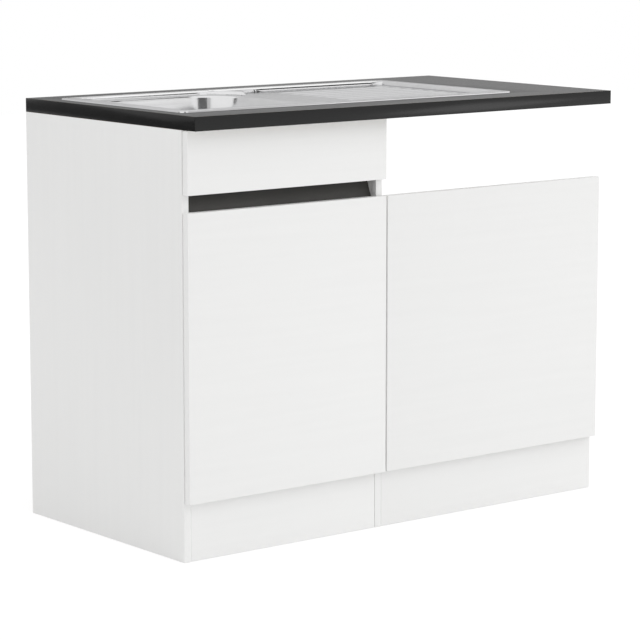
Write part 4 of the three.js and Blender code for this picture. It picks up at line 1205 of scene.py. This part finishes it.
def trap_body():
    """The trap's body: a sleeve on the outlet, a round body and an arm towards the wall, with a
    ribbed nut on each joint."""
    low, high = corners("trap_body")
    x = (low[0] + high[0]) / 2
    outer = (high[0] - low[0]) / 2
    inner = outer - PIPE_WALL
    shoulder = low[2] + TRAP_SHOULDER
    sleeve = OUTLET_RADIUS + 0.3
    section = [
        (outer, low[2]), (outer, shoulder - 6), (sleeve + 4, shoulder), (sleeve + 4, high[2]),
        (sleeve, high[2]), (sleeve, shoulder - 2), (inner, shoulder - 8), (inner, low[2]),
    ]
    arm_at, arm_end = (x, 0, low[2] + TRAP_ARM), high[1]
    arm = ring_section(sleeve, sleeve + PIPE_WALL, TRAP_ARM_START, arm_end)
    nut_foot, arm_nut_start = high[2] - NUT_HEIGHT, arm_end - ARM_NUT_LENGTH
    nut = ring_section(sleeve + 1, NUT_RADIUS, nut_foot, high[2])
    arm_nut = ring_section(OUTLET_RADIUS + 1, ARM_NUT_RADIUS, arm_nut_start, arm_end)
    grip = ribbed(NUT_RIBS, NUT_GROOVE, nut_foot + 1, high[2] - 1)
    arm_grip = ribbed(ARM_NUT_RIBS, NUT_GROOVE, arm_nut_start + 1, arm_end - 1)
    return [
        lathe(section, [0.5, 4, 2, 0.8, 0.6, 1, 2, 0.4], (x, 0, 0)),
        lathe(nut, 1, (x, 0, 0), sides=144, warp=grip),
        lathe(arm, 0.5, arm_at, BACK, 72),
        lathe(arm_nut, 1, arm_at, BACK, 144, arm_grip),
    ]


def trap_cup():
    """The trap's screw cup: a round-bottomed cup with grip ribs down its side."""
    low, high = corners("trap_cup")
    x = (low[0] + high[0]) / 2
    outer = (high[0] - low[0]) / 2
    inner = outer - PIPE_WALL
    levels = [high[2] - 2, high[2] - 12, high[2] - 24, high[2] - 26]
    section = [
        (0, low[2]), (inner - 6, low[2]), (outer, low[2] + 10), (outer, levels[3]),
        (outer, levels[2]), (outer, levels[1]), (outer, levels[0]), (outer, high[2]),
        (inner, high[2]), (inner, low[2] + 6), (0, low[2] + 4),
    ]
    cuts = [0, 3, 7, 0.4, 0.4, 0.4, 0.4, 0.6, 0.6, 4, 0]
    grip = ribbed(TRAP_CUP_RIBS, 1.1, levels[3] + 0.2, levels[0])
    return [lathe(section, cuts, (x, 0, 0), sides=160, warp=grip, closed=False)]


def outlet_pipe():
    """The outlet pipe: a plain tube with a chamfered end at the wall and a push-in stop ring."""
    low, high = corners("trap_outlet_pipe")
    x, z = (low[0] + high[0]) / 2, (low[2] + high[2]) / 2
    outer = (high[0] - low[0]) / 2
    inner = outer - PIPE_WALL
    start, end = low[1], high[1]
    section = [(inner, start), (outer, start), (outer, end - 4), (outer - 1.2, end), (inner, end)]
    ring = ring_section(outer - 1, outer + 2.2, start + 42, start + 47)
    return [lathe(section, 0.4, (x, 0, z), BACK), lathe(ring, 0.8, (x, 0, z), BACK)]


def overflow_elbow():
    """The elbow behind the overflow: a flange on the bowl's wall, a domed body and a hose socket."""
    at, out = overflow_seat()
    flange, back, depth = ELBOW_FLANGE, SHEET + 0.3, ELBOW_DEPTH
    radius = OVERFLOW_RADIUS
    section = [
        (0, back), (flange, back), (flange, back + 4), (radius, back + 6),
        (radius, back + depth), (0, back + depth),
    ]
    low, high = corners("overflow_pipe")
    top = ((low[0] + high[0]) / 2, high[1] - HOSE_RADIUS, high[2])
    bore, outer = HOSE_RADIUS + 0.1, HOSE_RADIUS + 2.2
    socket = [(bore, -7), (outer, -7), (outer, 8), (0, 8), (0, 0.2), (bore, 0.2)]
    return [
        lathe(section, [0, 0.6, 1, 2.5, 4, 0], at, out, closed=False),
        lathe(socket, [0.5, 0.6, 0.5, 0, 0, 0.3], top, sides=64),
    ]


def overflow_hose(ribs):
    """The overflow hose: down behind the bowl, round a parabola and forward into the strainer cup,
    with its radius waving from rib to rib and plain cuffs at both ends."""
    low, high = corners("overflow_pipe")
    x = (low[0] + high[0]) / 2
    y, z = high[1] - HOSE_RADIUS, low[2] + HOSE_RADIUS
    t = np.linspace(0, 1, 60)[:, None]
    start, turn, end = np.array([y, z + HOSE_BEND]), np.array([y, z]), np.array([y - HOSE_BEND, z])
    bend = (1 - t) ** 2 * start + 2 * t * (1 - t) * turn + t**2 * end
    drop = np.linspace([y, high[2]], start, 110)[:-1]
    run = np.linspace(end, [low[1], z], 130)[1:]
    path = np.concatenate([drop, bend, run])
    length = np.concatenate([[0], np.cumsum(np.linalg.norm(np.diff(path, axis=0), axis=1))])
    total = length[-1]
    even = np.linspace(0, total, ribs * 8)
    path = np.stack([np.interp(even, length, path[:, k]) for k in (0, 1)], -1)
    part = np.clip(np.minimum(even - HOSE_CUFF, total - HOSE_CUFF - even) / 3, 0, 1)
    wave = 0.5 - 0.5 * np.cos(2 * math.pi * even / total * ribs)
    radius = HOSE_RADIUS - HOSE_GROOVE * wave * part
    points = np.stack([np.zeros(len(path)), path[:, 0], path[:, 1]], -1)
    patch, faces = tube(points, radius, 36)
    return [(patch + np.array([x, 0, 0]), faces)]


def strainer_washer():
    """The rubber washer between the bowl and the strainer's cup."""
    low, high = corners("strainer_washer")
    outer = (high[0] - low[0]) / 2
    at = ((low[0] + high[0]) / 2, 0, 0)
    return [lathe(ring_section(DRAIN_HOLE, outer, low[2], high[2]), 0.6, at)]


class SINKUNIT_OT_waste(bpy.types.Operator):
    """Build the strainer cup, the bottle trap, the outlet pipe and the overflow hose"""

    bl_idname = "sink_unit.waste"
    bl_label = "Trap and pipes"

    def execute(self, context):
        settings = context.scene.sink_unit_waste
        plastic = moulded_plastic(settings.plastic)
        pieces = {
            "strainer_cup": strainer_cup(),
            "trap_body": trap_body(),
            "trap_cup": trap_cup(),
            "trap_outlet_pipe": outlet_pipe(),
            "overflow_elbow": overflow_elbow(),
            "overflow_pipe": overflow_hose(settings.ribs),
        }
        for node, patches in pieces.items():
            stand_in(node, patches, "cabinet", plastic)
        rubber = soft_rubber(settings.rubber)
        stand_in("strainer_washer", strainer_washer(), "cabinet", rubber)
        return {"FINISHED"}


# ---------------------------------------------------------------- brackets, clamps and cams

# Each bracket's corner lies where its two legs meet; the legs run along these two directions.
BRACKET_LEGS = {
    "worktop_bracket_front_left": ("+y", "-z"),
    "worktop_bracket_front_right": ("+y", "-z"),
    "worktop_bracket_back_left": ("-y", "-z"),
    "worktop_bracket_back_right": ("-y", "-z"),
    "fascia_bracket_left": ("+y", "+x"),
    "fascia_bracket_right": ("+y", "-x"),
    "plinth_bracket_left": ("+y", "+x"),
    "plinth_bracket_right": ("+y", "-x"),
    "dishwasher_plinth_bracket": ("+y", "+x"),
}
CLAMP_PLACES = ("left", "middle", "right")
CLAMPS = [f"sink_clamp_{row}_{place}" for row in ("front", "back") for place in CLAMP_PLACES]
# The side of the board that shows each cam.
CAM_FACES = {"bottom_front": "-z", "bottom_back": "-z", "front_rail": "+y", "back_rail": "-y"}


def way(side):
    """The unit direction of a side such as "+y"."""
    axis, sign = SIDES[side]
    return np.eye(3)[axis] * sign


def bracket_screws(node, legs):
    """The two screws of an angle bracket, one in each leg."""
    low, high = corners(node)
    along, across = way(legs[0]), way(legs[1])
    both = along + across
    corner = np.where(both > 0, low, np.where(both < 0, high, (low + high) / 2))
    return [
        (corner + SCREW_SEAT * along + BRACKET_SHEET * across, across),
        (corner + SCREW_SEAT * across + BRACKET_SHEET * along, along),
    ]


def clamp_screw(node):
    """The screw of a sink clamp, under its foot."""
    low, high = corners(node)
    outer = low[1] if high[1] < 0 else high[1]
    inner = high[1] if high[1] < 0 else low[1]
    y = inner + (outer - inner) * CLAMP_SCREW
    return ((low[0] + high[0]) / 2, y, low[2]), (0, 0, -1)


def cam(node, face, left):
    """A cam dowel with a cross recess in its face, and the bolt that it pulls."""
    low, high = corners(node)
    axis, sign = SIDES[face]
    out = way(face)
    middle = (low + high) / 2
    seat = middle.copy()
    seat[0] = high[0] - CAM_RADIUS if left else low[0] + CAM_RADIUS
    seat[axis] = high[axis] if sign > 0 else low[axis]
    rings = [(CAM_RADIUS * s, 0.0) for s in np.linspace(1, 0, 16)[1:]]
    barrel = [(0, -CAM_DEPTH), (CAM_RADIUS, -CAM_DEPTH), (CAM_RADIUS, -0.5), (CAM_RADIUS - 0.5, 0)]
    profile = [*barrel, *rings]

    def recess(r, angle, h):
        x, y = np.abs(r * np.cos(angle)), np.abs(r * np.sin(angle))
        arm = (np.minimum(x, y) < 0.75) & (np.maximum(x, y) < 4.2) & (h > -0.1)
        return r, np.where(arm, h - 2.5, h)

    bolt_axis = seat - out * BOLT_PLACE
    length = abs(seat[0] - (low[0] if left else high[0]))
    neck = BOLT_RADIUS - 0.8
    shank = [
        (0, 0), (neck, 0), (neck, length - 13), (BOLT_RADIUS, length - 11),
        (BOLT_RADIUS, length - 1), (BOLT_RADIUS - 1, length), (0, length),
    ]
    outward = (-1, 0, 0) if left else (1, 0, 0)
    return [
        aimed(turned(profile, 96, recess), seat, out),
        aimed(turned(shank, 32), bolt_axis, outward),
    ]


class SINKUNIT_OT_fittings(bpy.types.Operator):
    """Dress the brackets and sink clamps with their screws, and turn the cam fittings"""

    bl_idname = "sink_unit.fittings"
    bl_label = "Brackets, clamps and cams"

    def execute(self, context):
        zinc = bright_zinc(context.scene.sink_unit_fittings.zinc)
        seats = []
        for node, legs in BRACKET_LEGS.items():
            dressed(node, "cabinet", [zinc], 0.5)
            seats += bracket_screws(node, legs)
        for node in CLAMPS:
            dressed(node, "cabinet", [zinc], 0.5)
            seats.append(clamp_screw(node))
        screws("fitting_screws", seats, "cabinet", zinc)
        for seat, face in CAM_FACES.items():
            for word in ("left", "right"):
                node = f"cam_{seat}_{word}"
                stand_in(node, cam(node, face, word == "left"), "cabinet", zinc)
        return {"FINISHED"}


# ---------------------------------------------------------------- hinges and bumpers


def hinge_cup(node):
    """A hinge cup: a drawn cup open to the rear, in a thin plate with a wing above and below. The
    plate's outline is the larger of the cup's circle and the wings' box, along each ray."""
    low, high = corners(node)
    middle = (low + high) / 2
    rear = high[1]
    outer, inner, floor = CUP_RADIUS - 0.2, CUP_RADIUS - CUP_WALL, CUP_WALL - CUP_DEPTH
    section = [
        (0, -CUP_DEPTH), (outer, -CUP_DEPTH), (outer, 0), (inner, 0), (inner, floor), (0, floor),
    ]
    profile = rounded(section, [0, 2, 0.2, 0.3, 2, 0], closed=False)
    profile[:, 1] -= 0.05
    height = high[2] - low[2]
    box = (-CUP_WING / 2, CUP_WING / 2, -height / 2, height / 2)
    angles = np.linspace(0, 2 * math.pi, 144, endpoint=False)
    wings = reach(lambda a, b: box_distance(a, b, box, [5] * 4), (0, 0), angles)
    edge = np.maximum(wings, CUP_RADIUS)
    hole = np.full_like(angles, inner + 0.1)
    thick = rear - (low[1] + CUP_DEPTH)
    radii = np.stack([hole, edge - 0.15, edge, edge, edge - 0.15, hole])
    levels = np.array([0, 0, -0.08, -thick + 0.08, -thick, -thick])[:, None] * np.ones_like(angles)
    plate = np.stack([radii * np.cos(angles), radii * np.sin(angles), levels], -1)
    faces = grid(6, len(angles), True, True)[:, ::-1]
    at = (middle[0], rear, middle[2])
    return [aimed(turned(profile, 96), at, BACK), aimed((plate.reshape(-1, 3), [faces]), at, BACK)]


def hinge_screws(word):
    """The two screws of a mounting plate, above and below the arm."""
    low, high = corners("hinge_plate_" + word)
    y = (low[1] + high[1]) / 2
    x = low[0] + BRACKET_SHEET
    return [((x, y, z), (1, 0, 0)) for z in (high[2] - PLATE_SCREW, low[2] + PLATE_SCREW)]


def arm_screws(word):
    """The two adjusting screws on a hinge arm."""
    low, high = corners("hinge_arm_" + word)
    z = (low[2] + high[2]) / 2
    x = high[0] - BRACKET_SHEET
    return [((x, high[1] - place, z), (1, 0, 0)) for place in TUNER_PLACES]


def bumper(node):
    """A push-in bumper: a soft low dome on a stem."""
    low, high = corners(node)
    radius = (high[0] - low[0]) / 2
    head = high[1]
    stem = head - low[1]
    dome = [(radius * s, -0.5 * s**4) for s in np.linspace(1, 0, 12)]
    profile = [(0, -stem), (radius / 2, -stem), (radius / 2, -0.6), (radius - 0.1, -0.6), *dome]
    middle = (low + high) / 2
    return [aimed(turned(profile, 48), (middle[0], head, middle[2]), BACK)]


class SINKUNIT_OT_hinges(bpy.types.Operator):
    """Build the door's two concealed hinges and its bumpers"""

    bl_idname = "sink_unit.hinges"
    bl_label = "Hinges"

    def execute(self, context):
        nickel = nickel_plate(context.scene.sink_unit_fittings.nickel)
        seats, tuners = [], []
        for word in ("lower", "upper"):
            cup = "hinge_cup_" + word
            stand_in(cup, hinge_cup(cup), "door", nickel, 50.0)
            dressed("hinge_plate_" + word, "cabinet", [nickel], 0.6)
            dressed("hinge_arm_" + word, "cabinet", [nickel], 1.2)
            seats += hinge_screws(word)
            tuners += arm_screws(word)
            pad = "door_bumper_" + word
            stand_in(pad, bumper(pad), "door", milky_pad())
        screws("hinge_plate_screws", seats, "cabinet", nickel)
        screws("hinge_arm_screws", tuners, "cabinet", nickel, 3.0)
        return {"FINISHED"}


def grip_channel():
    """The grip channel: a bent sheet drawn along x. The outer and the inner line of its section
    have the same number of points, so that a strip between them closes each end."""
    low, high = corners("grip_channel")
    edge, depth, top = GRIP_CHAMFER, GRIP_DEPTH, GRIP_HEIGHT
    outer = [(0, edge), (edge, 0), (GRIP_LIP, 0), (depth, top), (edge, top), (0, top - edge)]
    foot, depth, top = GRIP_SHEET, depth - GRIP_SHEET, top - GRIP_SHEET
    inner = [(0, foot - edge), (edge, foot), (GRIP_LIP - foot, foot), (depth, top), (edge, top)]
    inner.append((0, top + edge))
    cuts = [0, 0, 3, 3, 0, 0]
    outer, inner = rounded(outer, cuts, False), rounded(inner, np.array(cuts) * 0.5, False)
    ring = np.concatenate([outer, inner[::-1]])
    ends = [np.stack([np.full(len(ring), x), *(ring + low[1:]).T], -1) for x in (low[0], high[0])]
    count = len(outer)
    here = np.arange(count - 1)
    back = 2 * count - 1 - here
    cap = np.stack([here, here + 1, back - 1, back], -1)
    faces = [grid(2, len(ring), False, True), cap[:, ::-1], cap + len(ring)]
    return np.concatenate(ends), faces


class SINKUNIT_OT_grip(bpy.types.Operator):
    """Bend the dark grip channel behind the opening over the door"""

    bl_idname = "sink_unit.grip"
    bl_label = "Grip channel"

    def execute(self, context):
        coat = grip_coat(context.scene.sink_unit_fittings.grip)
        stand_in("grip_channel", [grip_channel()], "cabinet", coat)
        return {"FINISHED"}


# ---------------------------------------------------------------- stage


FLOOR_REACH = 9.0  # metres, from the middle to each side
FLOOR_GAP = 0.3
FLOOR_GLOW = 0.82
FLOOR_TONE = 0.25  # of the part of the floor's look that shadows darken
LAMP_SPREAD = 50.0  # degrees
LAMP_TURN = (48.0, 0.0, 38.0)  # degrees: from in front and above, on the camera's side


def seen_rays(tree):
    """A socket that is 1 for rays from the camera, from gloss and through glass, and 0 for the
    rays that light a surface."""
    path = tree.nodes.new("ShaderNodeLightPath")
    seen = path.outputs["Is Camera Ray"]
    for name in ("Is Glossy Ray", "Is Transmission Ray"):
        either = tree.nodes.new("ShaderNodeMath")
        either.operation = "MAXIMUM"
        tree.links.new(seen, either.inputs[0])
        tree.links.new(path.outputs[name], either.inputs[1])
        seen = either.outputs[0]
    return seen


def plain_floor():
    """A white floor: seen directly or in a mirror it is nearly as bright as the white behind it,
    so that only the unit's shadow shows, and it lights the unit as a plain white floor does."""
    made = Finish("plain_floor", roughness=0.9, base_color=(0.9, 0.9, 0.9))
    tree = made.tree
    glow = made.node("ShaderNodeEmission", {"Color": (1, 1, 1, 1), "Strength": FLOOR_GLOW})
    dim = made.node("ShaderNodeBsdfDiffuse", {"Color": (*[FLOOR_TONE] * 3, 1)})
    both = made.node("ShaderNodeAddShader")
    tree.links.new(glow.outputs[0], both.inputs[0])
    tree.links.new(dim.outputs[0], both.inputs[1])
    mix = made.node("ShaderNodeMixShader")
    tree.links.new(seen_rays(tree), mix.inputs[0])
    tree.links.new(made.shader.outputs[0], mix.inputs[1])
    tree.links.new(both.outputs[0], mix.inputs[2])
    tree.links.new(mix.outputs[0], tree.nodes["Material Output"].inputs["Surface"])
    return made.material


def make_floor():
    """The floor, a hair's breadth under the unit: a flat grid that reaches far past the picture."""
    half = FLOOR_REACH * METRE
    x, y = np.meshgrid(np.linspace(-half, half, 5), np.linspace(-half, half, 5))
    points = np.stack([x, y, np.full_like(x, -FLOOR_GAP)], -1).reshape(-1, 3)
    mesh = Surface((points, [grid(5, 5)])).mesh("floor")
    floor = bpy.data.objects.new("floor", mesh)
    bpy.context.scene.collection.objects.link(floor)
    mesh.materials.append(plain_floor())


def make_world(scene, strength):
    """A white world: strength 1 where it is seen or mirrored, and the given strength as light."""
    world = bpy.data.worlds.new("studio")
    scene.world = world
    world.use_nodes = True
    tree = world.node_tree
    background = tree.nodes["Background"]
    background.inputs["Color"].default_value = (1, 1, 1, 1)
    level = tree.nodes.new("ShaderNodeMapRange")
    tree.links.new(seen_rays(tree), level.inputs["Value"])
    level.inputs["To Min"].default_value = strength
    level.inputs["To Max"].default_value = 1.0
    tree.links.new(level.outputs["Result"], background.inputs["Strength"])


def make_lamp(strength):
    """A wide soft lamp, which gloss doesn't show."""
    lamp = bpy.data.lights.new("soft_lamp", "SUN")
    lamp.energy = strength
    lamp.angle = math.radians(LAMP_SPREAD)
    made = bpy.data.objects.new("soft_lamp", lamp)
    made.rotation_euler = [math.radians(turn) for turn in LAMP_TURN]
    made.visible_glossy = False
    bpy.context.scene.collection.objects.link(made)


# Flags and cards of the studio, seen only in gloss: middle, half sizes along x, y and z, level.
CARDS = {
    "rear_card": ((2.7, 4.2, 0.7), (4.2, 0.0, 0.9), 0.65),
    "rear_high_card": ((-0.9, 4.2, 3.4), (3.2, 0.0, 1.75), 0.75),
    "rear_left_low_flag": ((-4.4, 3.6, 0.35), (2.9, 0.0, 0.45), 0.2),
    "rear_left_flag": ((-5.4, 3.6, 1.9), (1.5, 0.0, 1.05), 0.12),
    "rear_left_card": ((-2.7, 3.6, 1.9), (1.15, 0.0, 1.05), 0.72),
    "front_flag": ((-1.03, -4.6, 1.4), (1.37, 0.0, 1.4), 0.12),
    "front_left_card": ((-3.1, -4.6, 1.4), (0.65, 0.0, 1.4), 0.6),
    "front_high_card": ((2.85, -4.6, 2.6), (0.5, 0.0, 0.7), 0.5),
    "front_right_low_light": ((4.7, -4.6, 0.35), (0.95, 0.0, 0.6), 2.4),
    "right_high_flag": ((3.0, -0.05, 4.55), (0.0, 2.3, 1.15), 0.03),
}


def make_card(name, middle, half, level):
    """A flat card that glows at a level and is seen only in gloss."""
    middle, half = np.array(middle) * METRE, np.array(half) * METRE
    u = np.where(np.arange(3) == np.argmax(half > 0), half, 0)
    v = half - u
    signs = ((-1, -1), (1, -1), (1, 1), (-1, 1))
    points = np.array([middle + a * u + b * v for a, b in signs])
    mesh = Surface((points, [np.array([[0, 1, 2, 3]])])).mesh(name)
    made = Finish(name)
    glow = made.node("ShaderNodeEmission", {"Color": (1, 1, 1, 1), "Strength": level})
    made.tree.links.new(glow.outputs[0], made.tree.nodes["Material Output"].inputs["Surface"])
    mesh.materials.append(made.material)
    card = bpy.data.objects.new(name, mesh)
    bpy.context.scene.collection.objects.link(card)
    card.visible_camera = False
    card.visible_diffuse = False
    card.visible_transmission = False
    card.visible_shadow = False


CAMERA_PLACE = (-3.5319, -4.4513, 1.3078)  # metres
CAMERA_YAW = 38.351  # degrees, from +y towards +x
CAMERA_PITCH = 9.103  # degrees, down


def make_camera(scene, lens):
    """The camera, where the photograph was taken from."""
    data = bpy.data.cameras.new("photo_view")
    data.sensor_width = 36
    data.lens = lens
    made = bpy.data.objects.new("photo_view", data)
    made.location = CAMERA_PLACE
    made.rotation_euler = (math.radians(90 - CAMERA_PITCH), 0, math.radians(-CAMERA_YAW))
    scene.collection.objects.link(made)
    scene.camera = made


class SINKUNIT_OT_stage(bpy.types.Operator):
    """Set up the white floor, the light and the camera"""

    bl_idname = "sink_unit.stage"
    bl_label = "Stage"

    def execute(self, context):
        scene = context.scene
        settings = scene.sink_unit_stage
        scene.view_settings.view_transform = "Standard"
        make_floor()
        make_world(scene, settings.daylight)
        make_lamp(settings.sun)
        for name, (middle, half, level) in CARDS.items():
            make_card(name, middle, half, level)
        make_camera(scene, settings.lens)
        return {"FINISHED"}


# ---------------------------------------------------------------- the add-on

SETTINGS = {
    "sink_unit_boards": BoardSettings,
    "sink_unit_worktop": WorktopSettings,
    "sink_unit_sink": SinkSettings,
    "sink_unit_fittings": FittingSettings,
    "sink_unit_waste": WasteSettings,
    "sink_unit_stage": StageSettings,
}
OPERATORS = [
    SINKUNIT_OT_stage,
    SINKUNIT_OT_boards,
    SINKUNIT_OT_worktop,
    SINKUNIT_OT_sink,
    SINKUNIT_OT_strainer,
    SINKUNIT_OT_waste,
    SINKUNIT_OT_fittings,
    SINKUNIT_OT_hinges,
    SINKUNIT_OT_grip,
]


class SINKUNIT_PT_panel(bpy.types.Panel):
    """Lists the unit's pieces and their settings"""

    bl_label = "Kitchen sink unit"
    bl_idname = "SINKUNIT_PT_panel"
    bl_space_type = "VIEW_3D"
    bl_region_type = "UI"
    bl_category = "Sink unit"

    def draw(self, context):
        for operator in OPERATORS:
            self.layout.operator(operator.bl_idname)
        for name, group in SETTINGS.items():
            box = self.layout.box()
            for prop in group.__annotations__:
                box.prop(getattr(context.scene, name), prop)


def register():
    """Registers the settings, the operators and the panel."""
    for group in SETTINGS.values():
        bpy.utils.register_class(group)
    for kind in (*OPERATORS, SINKUNIT_PT_panel):
        bpy.utils.register_class(kind)
    for name, group in SETTINGS.items():
        setattr(bpy.types.Scene, name, PointerProperty(type=group))


def unregister():
    """Takes back what register did."""
    for name in SETTINGS:
        delattr(bpy.types.Scene, name)
    for kind in (SINKUNIT_PT_panel, *reversed(OPERATORS), *SETTINGS.values()):
        bpy.utils.unregister_class(kind)


def main():
    """Builds the unit and its stage."""
    register()
    for operator in OPERATORS:
        family, name = operator.bl_idname.split(".")
        getattr(getattr(bpy.ops, family), name)()


if __name__ == "__main__":
    main()
